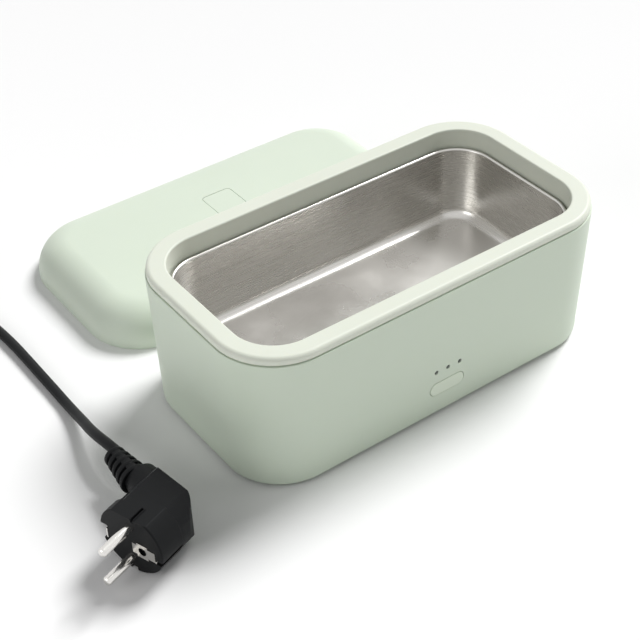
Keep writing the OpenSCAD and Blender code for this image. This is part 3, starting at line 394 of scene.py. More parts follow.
def make_brushed_lines():
    """Level brush lines in metal: long along the sheet, fine across it."""
    tree, into, out = new_group(
        "brushed_lines",
        [("Low Roughness", FLOAT, 0.25), ("High Roughness", FLOAT, 0.42),
         ("Depth", FLOAT, 0.12), ("Along", VECTOR, (22.0, 22.0, 2600.0))],
        [("Roughness", FLOAT), ("Normal", VECTOR), ("Lines", FLOAT)])
    place = tree.nodes.new("ShaderNodeTexCoord").outputs["Object"]
    stretch = tree.nodes.new("ShaderNodeVectorMath")
    stretch.operation = "MULTIPLY"
    tree.links.new(place, stretch.inputs[0])
    tree.links.new(into.outputs["Along"], stretch.inputs[1])
    lines = noise(tree, stretch.outputs[0], 1.0, 4.0, 0.6)
    gloss = tree.nodes.new("ShaderNodeMapRange")
    gloss.inputs["From Min"].default_value = 0.3
    gloss.inputs["From Max"].default_value = 0.7
    tree.links.new(lines.outputs["Fac"], gloss.inputs["Value"])
    tree.links.new(into.outputs["Low Roughness"], gloss.inputs["To Min"])
    tree.links.new(into.outputs["High Roughness"], gloss.inputs["To Max"])
    bump = tree.nodes.new("ShaderNodeBump")
    bump.inputs["Distance"].default_value = 0.05 * MM
    tree.links.new(into.outputs["Depth"], bump.inputs["Strength"])
    tree.links.new(lines.outputs["Fac"], bump.inputs["Height"])
    tree.links.new(gloss.outputs["Result"], out.inputs["Roughness"])
    tree.links.new(bump.outputs["Normal"], out.inputs["Normal"])
    tree.links.new(lines.outputs["Fac"], out.inputs["Lines"])
    return tree


GROUPS = {}


def use_group(material, name, **values):
    """Places a shared effect in a material with its own values."""
    node = material.node_tree.nodes.new("ShaderNodeGroup")
    node.node_tree = GROUPS[name]
    for label, value in values.items():
        node.inputs[label.replace("_", " ")].default_value = value
    return node


# ---- finishes ----

def rgb(r, g, b):
    """A colour that is written as 8-bit sRGB, for a shader."""
    linear = [c / 12.92 if c <= 0.04045 else ((c + 0.055) / 1.055) ** 2.4
              for c in (r / 255, g / 255, b / 255)]
    return (*linear, 1)


def new_material(name):
    material = bpy.data.materials.new(name)
    material.use_nodes = True
    return material, material.node_tree.nodes["Principled BSDF"]


def plastic(name, low, high, roughness=(0.42, 0.52), grain=2200.0, depth=0.05, specular=0.5,
            coat=0.0, subsurface=0.0):
    """Moulded plastic, rubber or paint: a faint mottle and a fine grain."""
    material, shader = new_material(name)
    links = material.node_tree.links
    mottle = use_group(material, "soft_mottle", Low_Colour=low, High_Colour=high,
                       Low_Roughness=roughness[0], High_Roughness=roughness[1])
    texture = use_group(material, "moulded_grain", Grain=grain, Depth=depth)
    links.new(mottle.outputs["Colour"], shader.inputs["Base Color"])
    links.new(mottle.outputs["Roughness"], shader.inputs["Roughness"])
    links.new(texture.outputs["Normal"], shader.inputs["Normal"])
    shader.inputs["Specular IOR Level"].default_value = specular
    shader.inputs["Coat Weight"].default_value = coat
    if subsurface:
        shader.inputs["Subsurface Weight"].default_value = subsurface
        shader.inputs["Subsurface Radius"].default_value = (1.0, 0.9, 0.7)
        shader.inputs["Subsurface Scale"].default_value = 1.2 * MM
    return material


def metal(name, colour, roughness=(0.25, 0.42), along=(22.0, 22.0, 2600.0), depth=0.12):
    """Brushed or drawn metal."""
    material, shader = new_material(name)
    links = material.node_tree.links
    lines = use_group(material, "brushed_lines", Low_Roughness=roughness[0],
                      High_Roughness=roughness[1], Along=along, Depth=depth)
    shader.inputs["Base Color"].default_value = colour
    shader.inputs["Metallic"].default_value = 1.0
    links.new(lines.outputs["Roughness"], shader.inputs["Roughness"])
    links.new(lines.outputs["Normal"], shader.inputs["Normal"])
    return material


FINISH = {}


def make_casing_finishes():
    FINISH["mint"] = plastic("mint_plastic", rgb(209, 221, 203), rgb(214, 225, 208),
                             subsurface=0.1)
    FINISH["lid"] = plastic("lid_plastic", rgb(213, 224, 207), rgb(218, 228, 212),
                            subsurface=0.1)
    FINISH["rim"] = plastic("rim_plastic", rgb(221, 226, 212), rgb(226, 230, 217),
                            subsurface=0.1)
    FINISH["well"] = plastic("well_plastic", rgb(214, 216, 200), rgb(220, 222, 206))
    FINISH["base"] = plastic("base_plastic", rgb(176, 194, 174), rgb(182, 200, 180),
                             roughness=(0.5, 0.6), depth=0.1)
    FINISH["button"] = plastic("button_plastic", rgb(220, 231, 212), rgb(225, 235, 217),
                               roughness=(0.38, 0.46))
    FINISH["vent"] = plastic("vent_plastic", rgb(213, 224, 207), rgb(218, 228, 212))
    FINISH["window"] = plastic("window_plastic", rgb(52, 60, 52), rgb(60, 70, 60),
                               roughness=(0.12, 0.2), depth=0.01, coat=0.3)
    FINISH["led"] = plastic("light_resin", rgb(214, 224, 214), rgb(222, 232, 222),
                            roughness=(0.2, 0.3), subsurface=0.3)


def make_rubber_finishes():
    FINISH["rubber"] = plastic("foot_rubber", rgb(66, 68, 66), rgb(74, 76, 74),
                               roughness=(0.7, 0.85), grain=1600.0, depth=0.15, specular=0.3)
    FINISH["silicone"] = plastic("gasket_silicone", rgb(226, 228, 220), rgb(233, 235, 227),
                                 roughness=(0.45, 0.6), specular=0.4, subsurface=0.3)
    FINISH["red_silicone"] = plastic("seal_silicone", rgb(168, 62, 44), rgb(180, 70, 52),
                                     roughness=(0.5, 0.65))


def make_lead_finishes():
    FINISH["lead"] = plastic("lead_black", rgb(24, 25, 26), rgb(29, 30, 31),
                             roughness=(0.42, 0.52), grain=1900.0, depth=0.12, specular=0.08)
    FINISH["cord"] = plastic("cord_black", rgb(26, 27, 28), rgb(31, 32, 33),
                             roughness=(0.42, 0.52), grain=900.0, depth=0.1, specular=0.12)
    FINISH["tie"] = plastic("tie_fabric", rgb(34, 34, 36), rgb(60, 60, 62),
                            roughness=(0.85, 0.95), grain=1500.0, depth=0.9, specular=0.2)


def make_metal_finishes():
    FINISH["steel"] = metal("container_steel", rgb(200, 198, 194), (0.2, 0.36))
    FINISH["screw"] = metal("screw_steel", rgb(190, 190, 192), (0.25, 0.4),
                            (900.0, 900.0, 900.0))
    FINISH["nickel"] = metal("pin_nickel", rgb(222, 220, 216), (0.1, 0.2),
                             (60.0, 60.0, 900.0), 0.05)
    FINISH["brass"] = metal("contact_brass", rgb(205, 175, 110), (0.2, 0.35),
                            (300.0, 300.0, 900.0))
    FINISH["aluminium"] = metal("plate_aluminium", rgb(205, 206, 208), (0.3, 0.5),
                                (40.0, 2400.0, 40.0))


def make_inside_finishes():
    FINISH["black"] = plastic("switch_plastic", rgb(34, 34, 36), rgb(42, 42, 44))
    FINISH["relay"] = plastic("relay_plastic", rgb(30, 58, 120), rgb(36, 66, 130),
                              roughness=(0.3, 0.4))
    FINISH["board"] = plastic("board_resin", rgb(20, 84, 48), rgb(30, 98, 58),
                              roughness=(0.3, 0.42), coat=0.3)
    FINISH["pad"] = plastic("pad_felt", rgb(214, 208, 190), rgb(228, 222, 206),
                            roughness=(0.9, 0.98), grain=1200.0, depth=0.8, specular=0.2)
    FINISH["wire_brown"] = plastic("mains_wire_plastic", rgb(96, 62, 36), rgb(108, 70, 42),
                                   roughness=(0.35, 0.45))
    FINISH["wire_red"] = plastic("heater_wire_plastic", rgb(168, 44, 34), rgb(180, 52, 40),
                                 roughness=(0.35, 0.45))


def make_finishes():
    GROUPS["moulded_grain"] = make_moulded_grain()
    GROUPS["soft_mottle"] = make_soft_mottle()
    GROUPS["brushed_lines"] = make_brushed_lines()
    make_casing_finishes()
    make_rubber_finishes()
    make_lead_finishes()
    make_metal_finishes()
    make_inside_finishes()


CAD_FINISH = {
    "inner_well": "well", "base_cover": "base", "base_screws": "screw", "rim_screws": "screw",
    "heating_plate": "aluminium", "plate_seal": "red_silicone", "heater_block": "aluminium",
    "heater_straps": "screw", "strap_screws": "screw", "thermostat": "screw",
    "thermal_fuse": "brass", "insulation_pad": "pad", "control_board": "board",
    "board_screws": "screw", "status_lights": "led", "tact_switch": "black",
    "power_board": "board", "relay": "relay", "inlet_housing": "black",
    "inlet_pins": "nickel", "mains_wires": "wire_brown", "heater_wires": "wire_red",
    "switch_plunger": "button", "lid_liner": "rim", "lid_gasket": "silicone",
    "liner_screws": "screw", "vent_seal": "red_silicone", "connector_contacts": "brass",
    "rubber_feet": "rubber"}


def paint_cad_nodes():
    for node, finish in CAD_FINISH.items():
        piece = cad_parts[node]
        piece.data.materials.clear()
        piece.data.materials.append(FINISH[finish])


# ---- the lead ----

CORD_R = 2.8 * MM
RELIEF_ROOT = Vector((-157.4, -89.5, 18.5)) * MM
PLUG_RELIEF_L = 21.5 * MM
RUN_START = RELIEF_ROOT + Vector((0, PLUG_RELIEF_L, 0))
ROUTE = [Vector(p) * MM for p in [
    (-158.2, -60, 18.2), (-158.6, -50, 16.4), (-157.8, -39, 12.9), (-156.3, -29, 9.3),
    (-155, -18, 5.8), (-154.1, -6, 3.4), (-153.8, 8, 2.8), (-153.8, 24, 2.8),
    (-153.8, 40, 2.8), (-154, 56, 2.8), (-155, 72, 2.8), (-156.8, 88, 2.8), (-158.8, 103, 2.8)]]
COIL_AT = Vector((-200, 122, 0)) * MM
COIL_R = 40 * MM
COIL_PITCH = 6.2 * MM
COIL_TURNS = 2
EASE = 0.25
COIL_HALF = COIL_TURNS + EASE
COIL_START_R = COIL_R - COIL_HALF * COIL_PITCH
COIL_LOW = CORD_R
COIL_HIGH = COIL_LOW + COIL_PITCH
POINTS_PER_TURN = 24
COIL_END_L = 1.6 * 2 * CORD_R
CONNECTOR_AT = COIL_AT + Vector((-COIL_R, -COIL_END_L, COIL_HIGH))
CONNECTOR_RELIEF_L = 30 * MM


def coil_point(s):
    """A point on the coil at s turns from the middle, where the spiral reverses and climbs."""
    step = s * s / (2 * EASE) + EASE / 2 if abs(s) < EASE else abs(s)
    radius = COIL_START_R + COIL_PITCH * step
    angle = 2 * math.pi * (s + COIL_HALF)
    climb = min(max((s + EASE) / (2 * EASE), 0), 1)
    height = COIL_LOW + COIL_PITCH * climb * climb * (3 - 2 * climb)
    return COIL_AT + Vector((radius * math.cos(angle), radius * math.sin(angle), height))


def cord_points():
    """The cord's line, from the connector through the coil to the plug."""
    count = round(POINTS_PER_TURN * 2 * COIL_HALF)
    coil = [coil_point(-COIL_HALF + i / POINTS_PER_TURN) for i in range(count + 1)]
    coil_start = COIL_AT + Vector((COIL_R, -2 * CORD_R, COIL_LOW))
    line = [RUN_START] + ROUTE + [coil_start] + coil + [CONNECTOR_AT]
    return line[::-1]


def make_cord():
    points = cord_points()
    data = bpy.data.curves.new("cord", "CURVE")
    data.dimensions = "3D"
    data.bevel_depth = CORD_R
    data.bevel_resolution = 6
    data.resolution_u = 6
    data.use_fill_caps = True
    spline = data.splines.new("BEZIER")
    spline.bezier_points.add(len(points) - 1)
    for knot, point in zip(spline.bezier_points, points):
        knot.co = point
        knot.handle_left_type = knot.handle_right_type = "AUTO"
    cord = bpy.data.objects.new("cord", data)
    scene.collection.objects.link(cord)
    return cord


# ---- the plug, modelled with its face at the origin and its pins along +X ----

PLUG_AT = Vector((-182, -122, 18.5)) * MM
PLUG_TURN = math.radians(199.4)
NOSE_R = 18.5 * MM
NOSE_L = 15 * MM
NOSE_FRONT_EDGE = 0.8 * MM
NOSE_BACK_EDGE = 0.5 * MM
PLUG_TOP = 15.6 * MM
ROUND_STEPS = 96
HOLE_STEPS = 32
PIN_R = 2.4 * MM
PIN_L = 19 * MM
PIN_ROOT_L = 8 * MM
PIN_TIP_R = 1.6 * MM
PIN_UP = 9.5 * MM
PIN_HOLE_R = 2.45 * MM
PIN_HOLE_L = 8.4 * MM
PIN_HOLE_X = -3.9 * MM
EARTH_Y = 7 * MM
EARTH_Z = -2 * MM
EARTH_HOLE_R = 2.4 * MM
EARTH_HOLE_L = 13 * MM
EARTH_HOLE_X = -5.5 * MM
SLOT_DEPTH = 4.7 * MM
SLOT_L = NOSE_L + 2.4 * MM
SLOT_START = 2 * MM
SLOT_H = {-1: 10 * MM, 1: 2.2 * MM}
SLOT_Z = {-1: -2 * MM, 1: -5.2 * MM}
STRIP_L = 12.3 * MM
STRIP_T = 1 * MM
STRIP_X = -5.85 * MM
STRIP_SHARE = 0.6
STRIP_Y = NOSE_R - SLOT_DEPTH + STRIP_T / 2
PLATE = (0.6 * MM, 6.4 * MM, 8.6 * MM)
PLATE_HOLE_R = 2.3 * MM
BAR_T = 0.56 * MM
BAR_H = 6 * MM
BAR_X = 0.29 * MM
BAR_START = 1.2 * MM
LOWER_GUIDE = (11 * MM, 4 * MM, 5.4 * MM)
LOWER_GUIDE_X = -3.5 * MM
TOP_GUIDE = (10.6 * MM, 1.3 * MM, 4 * MM)
TOP_GUIDE_X = -3.3 * MM
TOP_GUIDE_Y = 2.3 * MM
LIP = (8.4 * MM, 0.5 * MM, 2 * MM)
LIP_X = -4.5 * MM
LIP_OUT = 0.95 * MM
LIP_SUNK = 0.6 * MM
HOUSING = [(-12, -13), (-12, 19), (-18.5, 19.5), (-29, 13), (-34.5, -15), (-30, -20), (-14, -17)]
HOUSING_H = 30 * MM
HOUSING_CORNER_R = 2.2 * MM
HOUSING_EDGE_R = 2 * MM
DRUM_R = NOSE_R - 0.3 * MM
DRUM_L = 40 * MM
DRUM_X = -24 * MM
SHOULDER_X = 8 * MM
RECESS_R = 16.9 * MM
RECESS_TURN = math.radians(-49.4)
SHOULDER_RIB = (7 * MM, 0.8 * MM, 3 * MM)
SHOULDER_RIB_X = -12.5 * MM
SHOULDER_RIB_SUNK = 1 * MM
NECK_L = 14 * MM
NECK_R = 8.4 * MM
NECK_WIDE_R = 10.5 * MM
PLUG_RELIEF_WIDE = 16.2 * MM
PLUG_RELIEF_NARROW = 10 * MM


def place_plug(piece):
    """Turns and moves a piece that was modelled with the plug's face at the origin."""
    piece.matrix_world = Matrix.Translation(PLUG_AT) @ Matrix.Rotation(PLUG_TURN, 4, "Z")


def make_plug_nose():
    nose = rod("plug_nose", NOSE_R, NOSE_L, (-NOSE_L / 2, 0, 0), "X", ROUND_STEPS)
    edit()
    bevel_edges(lambda e: all(v.co.x > -NEAR for v in e.verts), NOSE_FRONT_EDGE)
    bevel_edges(lambda e: all(v.co.x < NEAR - NOSE_L for v in e.verts), NOSE_BACK_EDGE, 3)
    leave_edit()
    return nose


def make_grip_limit():
    """Round like the nose on the side away from the cord, and open on the other side."""
    limit = rod("grip_drum", DRUM_R, DRUM_L, (DRUM_X, 0, 0), "X", ROUND_STEPS)
    side = block("grip_side", (DRUM_L + 10 * MM, DRUM_L, DRUM_L), (DRUM_X, -DRUM_L / 2, 0))
    cut(limit, side, operation="UNION")
    return limit


def make_plug_housing():
    """The angled grip behind the nose, from its outline seen from above."""
    x, y = HOUSING[0]
    moves = [((x1 - x0) * MM, (y1 - y0) * MM, 0)
             for (x0, y0), (x1, y1) in zip(HOUSING, HOUSING[1:])]
    housing = draw_line("plug_housing", (x * MM, y * MM, 0), moves)
    bpy.ops.mesh.select_all(action="SELECT")
    bpy.ops.mesh.edge_face_add()
    bpy.ops.transform.translate(value=(0, 0, -HOUSING_H / 2))
    bpy.ops.mesh.extrude_region_move(TRANSFORM_OT_translate={"value": (0, 0, HOUSING_H)})
    close_mesh()
    bevel_edges(lambda e: rise(e) > HOUSING_H / 2, HOUSING_CORNER_R)
    bevel_edges(lambda e: rise(e) < NEAR and sharp(50)(e), HOUSING_EDGE_R, 4)
    leave_edit()
    return housing


def tilt_to_recess(piece):
    """Turns a block about the plug's axis, to stand on the sloped face behind the shoulder."""
    only(piece)
    bpy.ops.transform.rotate(value=RECESS_TURN, orient_axis="X", center_override=(0, 0, 0))
    bpy.ops.object.transform_apply(location=True, rotation=True)
    return piece


def make_nose_cutters():
    """What is cut from the nose: its flat top, the recess, and the slots, guides and holes."""
    above = 10 * MM
    flat_top = block("flat_top", (NOSE_L + 6 * MM, 2.2 * NOSE_R, above),
                     (-NOSE_L / 2, 0, PLUG_TOP + above / 2))
    reach = 40 * MM
    recess = block("recess", (reach, reach, reach),
                   (-SHOULDER_X - reach / 2, 0, RECESS_R + reach / 2))
    tilt_to_recess(recess)
    slots = [block("slot", (SLOT_L, 2 * SLOT_DEPTH, SLOT_H[side]),
                   (SLOT_START - SLOT_L / 2, side * NOSE_R, SLOT_Z[side]))
             for side in (-1, 1)]
    guides = [block("lower_guide", LOWER_GUIDE, (LOWER_GUIDE_X, 0, -NOSE_R)),
              block("top_guide", TOP_GUIDE, (TOP_GUIDE_X, TOP_GUIDE_Y, PLUG_TOP))]
    earth_hole = rod("earth_hole", EARTH_HOLE_R, EARTH_HOLE_L,
                     (EARTH_HOLE_X, EARTH_Y, EARTH_Z), "X", HOLE_STEPS)
    pin_holes = [rod("pin_hole", PIN_HOLE_R, PIN_HOLE_L,
                     (PIN_HOLE_X, 0, side * PIN_UP), "X", HOLE_STEPS)
                 for side in (-1, 1)]
    return [flat_top, recess, *slots, *guides, earth_hole, *pin_holes]


def make_nose_ribs():
    """The two lips beside the top guide and the rib on the sloped face."""
    lips = [block("guide_lip", LIP, (LIP_X, TOP_GUIDE_Y + side * LIP_OUT, PLUG_TOP - LIP_SUNK))
            for side in (-1, 1)]
    rib = block("shoulder_rib", SHOULDER_RIB, (SHOULDER_RIB_X, 0, RECESS_R - SHOULDER_RIB_SUNK))
    return [*lips, tilt_to_recess(rib)]


def make_plug_body():
    grip = make_plug_housing()
    cut(grip, make_grip_limit(), operation="INTERSECT")
    body = make_plug_nose()
    cut(body, grip, operation="UNION")
    cut(body, *make_nose_cutters())
    cut(body, *make_nose_ribs(), operation="UNION")
    body.name = "plug_body_moulding"
    place_plug(body)
    only(body)
    bpy.ops.object.transform_apply(location=True, rotation=True)
    neck = rod("neck", NECK_R, NECK_L, RELIEF_ROOT - Vector((0, NECK_L / 2, 0)), "Y", 64,
               NECK_WIDE_R)
    cut(body, neck, operation="UNION")
    settle(body, 35)
    dress(body, "box", FINISH["lead"], "lead_black", "plug_body")
    return body


def make_plug_pins():
    pins = []
    for side in (-1, 1):
        pin = rod("plug_pin", PIN_R, PIN_L + PIN_ROOT_L,
                  ((PIN_L - PIN_ROOT_L) / 2, 0, side * PIN_UP), "X")
        edit()
        bevel_edges(lambda e: all(v.co.x > PIN_L - NEAR for v in e.verts), PIN_TIP_R, 6)
        leave_edit()
        pins.append(pin)
    pins = join_all("plug_pins_turned", pins)
    place_plug(pins)
    settle(pins, 30)
    dress(pins, "box", FINISH["nickel"], "pin_nickel", "plug_pins")
    return pins


def make_earth_clips():
    """Two strips in the side slots, and the plate round the earth hole."""
    strips = []
    for side in (-1, 1):
        strip = block("strip", (STRIP_L, STRIP_T, SLOT_H[side] * STRIP_SHARE),
                      (STRIP_X, side * STRIP_Y, SLOT_Z[side]))
        edit()
        bevel_edges(sharp(60), 0.25 * MM, 2)
        leave_edit()
        strips.append(strip)
    plate = block("plate", PLATE, (PLATE[0] / 2, EARTH_Y, EARTH_Z))
    bar = block("bar", (BAR_T, STRIP_Y - BAR_START, BAR_H),
                (BAR_X, (BAR_START + STRIP_Y) / 2, EARTH_Z))
    cut(plate, bar, operation="UNION")
    cut(plate, rod("plate_hole", PLATE_HOLE_R, 3 * MM, (0, EARTH_Y, EARTH_Z), "X", HOLE_STEPS))
    clips = join_all("plug_earth_contacts", [plate, *strips])
    place_plug(clips)
    settle(clips, 30)
    dress(clips, "box", FINISH["nickel"], "contact_brass", "plug_earth_clips")
    return clips


def make_plug():
    return [make_plug_body(), make_plug_pins(), make_earth_clips(),
            make_relief("plug_relief_rings", RELIEF_ROOT, PLUG_RELIEF_L, PLUG_RELIEF_WIDE,
                        PLUG_RELIEF_NARROW, "plug_relief")]


# ---- the strain reliefs ----

RELIEF_RINGS = 5
RING_SHARE = 0.58
RING_EDGE = 0.7 * MM
RING_DRAFT = 0.1 * MM
RING_DEPTH_WIDE = 1.7 * MM
RING_DEPTH_NARROW = 1.2 * MM
CORE_DRAFT = 0.05 * MM
RELIEF_BORE_R = CORD_R - 0.2 * MM
WEB_W = 4.6 * MM
WEB_SHORTER = 1.6 * MM
WEB_SUNK = 0.2 * MM


def relief_profile(length, wide, narrow):
    """Half of a relief's lengthwise section, as (radius, height) points."""
    core_wide, core_narrow = wide / 2 - RING_DEPTH_WIDE, narrow / 2 - RING_DEPTH_NARROW
    step = length / (RELIEF_RINGS - 1 + RING_SHARE)
    profile = [(RELIEF_BORE_R, 0), (core_wide, 0)]
    for ring in range(RELIEF_RINGS):
        outer = (wide + (narrow - wide) * ring / RELIEF_RINGS) / 2
        low, high = ring * step, (ring + RING_SHARE) * step
        core = core_wide + (core_narrow - core_wide) * high / length
        profile += [(outer - RING_EDGE, low),
                    (outer - RING_EDGE * 0.3, low + RING_EDGE * 0.3),
                    (outer, low + RING_EDGE), (outer - RING_DRAFT, high - RING_EDGE),
                    (outer - RING_EDGE * 0.4, high - RING_EDGE * 0.3),
                    (outer - RING_EDGE, high)]
        if ring < RELIEF_RINGS - 1:
            profile += [(core, high), (core - CORE_DRAFT, low + step - CORE_DRAFT)]
    return profile + [(RELIEF_BORE_R, length)]


def make_relief(name, root, length, wide, narrow, node):
    """A ribbed strain relief along +Y from its root: a turned profile and a web along it."""
    profile = relief_profile(length, wide, narrow)
    moves = [(r1 - r0, 0, z1 - z0)
             for (r0, z0), (r1, z1) in zip(profile, profile[1:] + profile[:1])]
    relief = draw_line(name, (profile[0][0], 0, profile[0][1]), moves)
    bpy.ops.mesh.select_all(action="SELECT")
    bpy.ops.mesh.spin(steps=48, angle=2 * math.pi, axis=(0, 0, -1), center=(0, 0, 0))
    close_mesh()
    leave_edit()
    middle_at = (0, 0, length / 2)
    web = block("web", (WEB_W, 2 * wide, length - WEB_SHORTER), middle_at)
    cut(web, rod("web_taper", wide / 2 - WEB_SUNK, length, middle_at, vertices=64,
                 tip_radius=narrow / 2), operation="INTERSECT")
    cut(relief, web, operation="UNION")
    relief.matrix_world = Matrix.Translation(root) @ Matrix.Rotation(-math.pi / 2, 4, "X")
    settle(relief, 35)
    dress(relief, "box", FINISH["lead"], "lead_black", node)
    return relief


# ---- the connector at the lead's other end ----

CONNECTOR_FRONT = CONNECTOR_AT - Vector((0, CONNECTOR_RELIEF_L, 0))
CONNECTOR_L = 34 * MM
CONNECTOR_W = 27 * MM
CONNECTOR_H = 2 * COIL_HIGH
CONNECTOR_CORNER_R = 4 * MM
CONNECTOR_EDGE_R = 0.8 * MM
CONNECTOR_NOSE_L = 15 * MM
CONNECTOR_NOSE_W = 24 * MM
CONNECTOR_NOSE_H = 15.8 * MM
CONNECTOR_NOSE_ROOT = 1 * MM
CONNECTOR_CHAMFER = 4.2 * MM
CONTACT_SLOT = (2.6 * MM, 4.6 * MM, 14 * MM)
CONTACT_SLOT_BACK = 6 * MM
CONTACTS = [(-7, -1.5), (7, -1.5), (0, 2.5)]
GROOVE = 1.2 * MM
GROOVE_X = 13.4 * MM
GROOVES = [4, 7, 10, 13]
CONNECTOR_RELIEF_WIDE = 14.4 * MM
CONNECTOR_RELIEF_NARROW = 9.4 * MM


def make_connector_nose():
    nose = block("connector_nose",
                 (CONNECTOR_NOSE_W, CONNECTOR_NOSE_H, CONNECTOR_NOSE_L + CONNECTOR_NOSE_ROOT),
                 (0, 0, CONNECTOR_L - CONNECTOR_NOSE_L / 2 - CONNECTOR_NOSE_ROOT / 2))
    edit()
    upper = lambda e: all(v.co.y > 0 for v in e.verts) and rise(e) > CONNECTOR_NOSE_L / 3
    bevel_edges(upper, CONNECTOR_CHAMFER, 1)
    bevel_edges(lambda e: all(v.co.z > CONNECTOR_L - NEAR for v in e.verts), 0.5 * MM, 2)
    leave_edit()
    return nose


def make_connector():
    """The moulded grip, its chamfered nose with three contact slots, and its relief."""
    grip_l = CONNECTOR_L - CONNECTOR_NOSE_L
    grip = rounded_block("connector_grip", (CONNECTOR_W, CONNECTOR_H, grip_l),
                         (0, 0, grip_l / 2), CONNECTOR_CORNER_R)
    edit()
    bevel_edges(sharp(60), CONNECTOR_EDGE_R, 3)
    leave_edit()
    cut(grip, make_connector_nose(), operation="UNION")
    slots = [block("contact_slot", CONTACT_SLOT, (x * MM, y * MM, CONNECTOR_L - CONTACT_SLOT_BACK))
             for x, y in CONTACTS]
    grooves = [block("grip_groove", (GROOVE, CONNECTOR_H + 4 * MM, GROOVE),
                     (side * GROOVE_X, 0, z * MM))
               for side in (-1, 1) for z in GROOVES]
    cut(grip, *slots, *grooves)
    grip.name = "connector_moulding"
    grip.matrix_world = Matrix.Translation(CONNECTOR_FRONT) @ Matrix.Rotation(math.pi / 2, 4, "X")
    settle(grip, 35)
    dress(grip, "box", FINISH["lead"], "lead_black", "connector_body")
    relief = make_relief("connector_relief_rings", CONNECTOR_FRONT, CONNECTOR_RELIEF_L,
                         CONNECTOR_RELIEF_WIDE, CONNECTOR_RELIEF_NARROW, "connector_relief")
    return [grip, relief]


# ---- the tie round the coil ----

TIE_GAP = 0.1 * MM
TIE_REACH_IN = 5 * MM
TIE_T = 0.8 * MM
TIE_W = 12 * MM
TIE_CORNER_R = 2.5 * MM


def make_tie():
    """A hook-and-loop strap round the coil."""
    outer = COIL_R + CORD_R + TIE_GAP
    inner = COIL_START_R - TIE_REACH_IN
    height = COIL_HIGH + CORD_R + TIE_T
    centre = COIL_AT + Vector((0, (outer + inner) / 2, height / 2))
    strap = rounded_block("cord_tie_strap", (height, outer - inner, TIE_W), (0, 0, 0),
                          TIE_CORNER_R)
    edit()
    pick("FACE", lambda f: abs(f.normal.z) > 0.9)
    bpy.ops.mesh.inset(thickness=TIE_T, depth=0)
    bpy.ops.mesh.delete(type="FACE")
    pick("EDGE", lambda e: e.is_boundary)
    bpy.ops.mesh.bridge_edge_loops()
    close_mesh()
    leave_edit()
    strap.matrix_world = Matrix.Translation(centre) @ Matrix.Rotation(math.pi / 2, 4, "Y")
    settle(strap, 40)
    dress(strap, "box", FINISH["tie"], "tie_fabric", "cord_tie")
    return strap


def make_lead():
    cord = make_cord()
    cord.data.materials.append(FINISH["cord"])
    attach(cord, "box")
    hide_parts("cord_run", "cord_coil")
    pieces = make_plug() + make_connector() + [make_tie()]


# ---- the box ----

FOOT_EDGE_R = 2 * MM
RIM_STEP = 0.6 * MM
RIM_EDGE_R = 2.4 * MM
RIM_LIP_R = 1 * MM
RIM_TOP_T = 2.6 * MM
SKIRT_T = 2.2 * MM
BUTTON_L = 22 * MM
BUTTON_H = 8.2 * MM
BUTTON_GAP = 0.3 * MM
BUTTON_T = 3.4 * MM
BUTTON_X = 1.2 * MM
BUTTON_Z = 18.8 * MM
LED_Z = 30.5 * MM
LED_PITCH = 7.6 * MM
LED_R = 1.2 * MM
LED_GAP = 0.05 * MM
LENS_L = 5.6 * MM
LENS_SUNK = 0.2 * MM
HOLE_L = 12 * MM
INLET_HOLE = (12 * MM, 27.8 * MM, 19.8 * MM)
RIM_GROOVE = 0.5 * MM
RIM_GROOVE_DEPTH = 1 * MM
RIM_SOFT = 0.25 * MM
RIM_SHELL_GAP = 0.8 * MM


def front_face(z):
    return BOX_AT.y - CORNER_Y - shell_r(z)


def make_outer_shell():
    low = SHELL_LOW.z
    foot_r = shell_r(low)
    edge_z = low + FOOT_EDGE_R
    edge_r = foot_r - FOOT_EDGE_R
    lip = 0.4 * MM
    section = arc(edge_r, edge_z, FOOT_EDGE_R, -90, 0)
    section += arc(CORNER_R - lip, SEAM_Z - lip, lip, 0, 90, 4)
    section += [(CORNER_R - SHELL_WALL, SEAM_Z), (foot_r - SHELL_WALL, low), section[0]]
    shell = sweep_outline("outer_shell_moulding", section, BOX_AT)
    leave_edit()
    button_hole = pill_block(
        "button_hole", BUTTON_L + 2 * BUTTON_GAP, BUTTON_H + 2 * BUTTON_GAP, HOLE_L,
        (BUTTON_X, front_face(BUTTON_Z) - HOLE_L / 3, BUTTON_Z))
    leave_edit()
    light_holes = [rod("light_hole", LED_R + LED_GAP, HOLE_L,
                       (BUTTON_X + i * LED_PITCH, front_face(LED_Z), LED_Z), "Y", HOLE_STEPS)
                   for i in (-1, 0, 1)]
    inlet_low, inlet_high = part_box("inlet_housing")
    inlet_hole = block("inlet_hole", INLET_HOLE,
                       (inlet_high.x, BOX_AT.y, (inlet_low.z + inlet_high.z) / 2))
    cut(shell, button_hole, *light_holes, inlet_hole)
    settle(shell)
    dress(shell, "box", FINISH["mint"], "mint_plastic", "outer_shell")


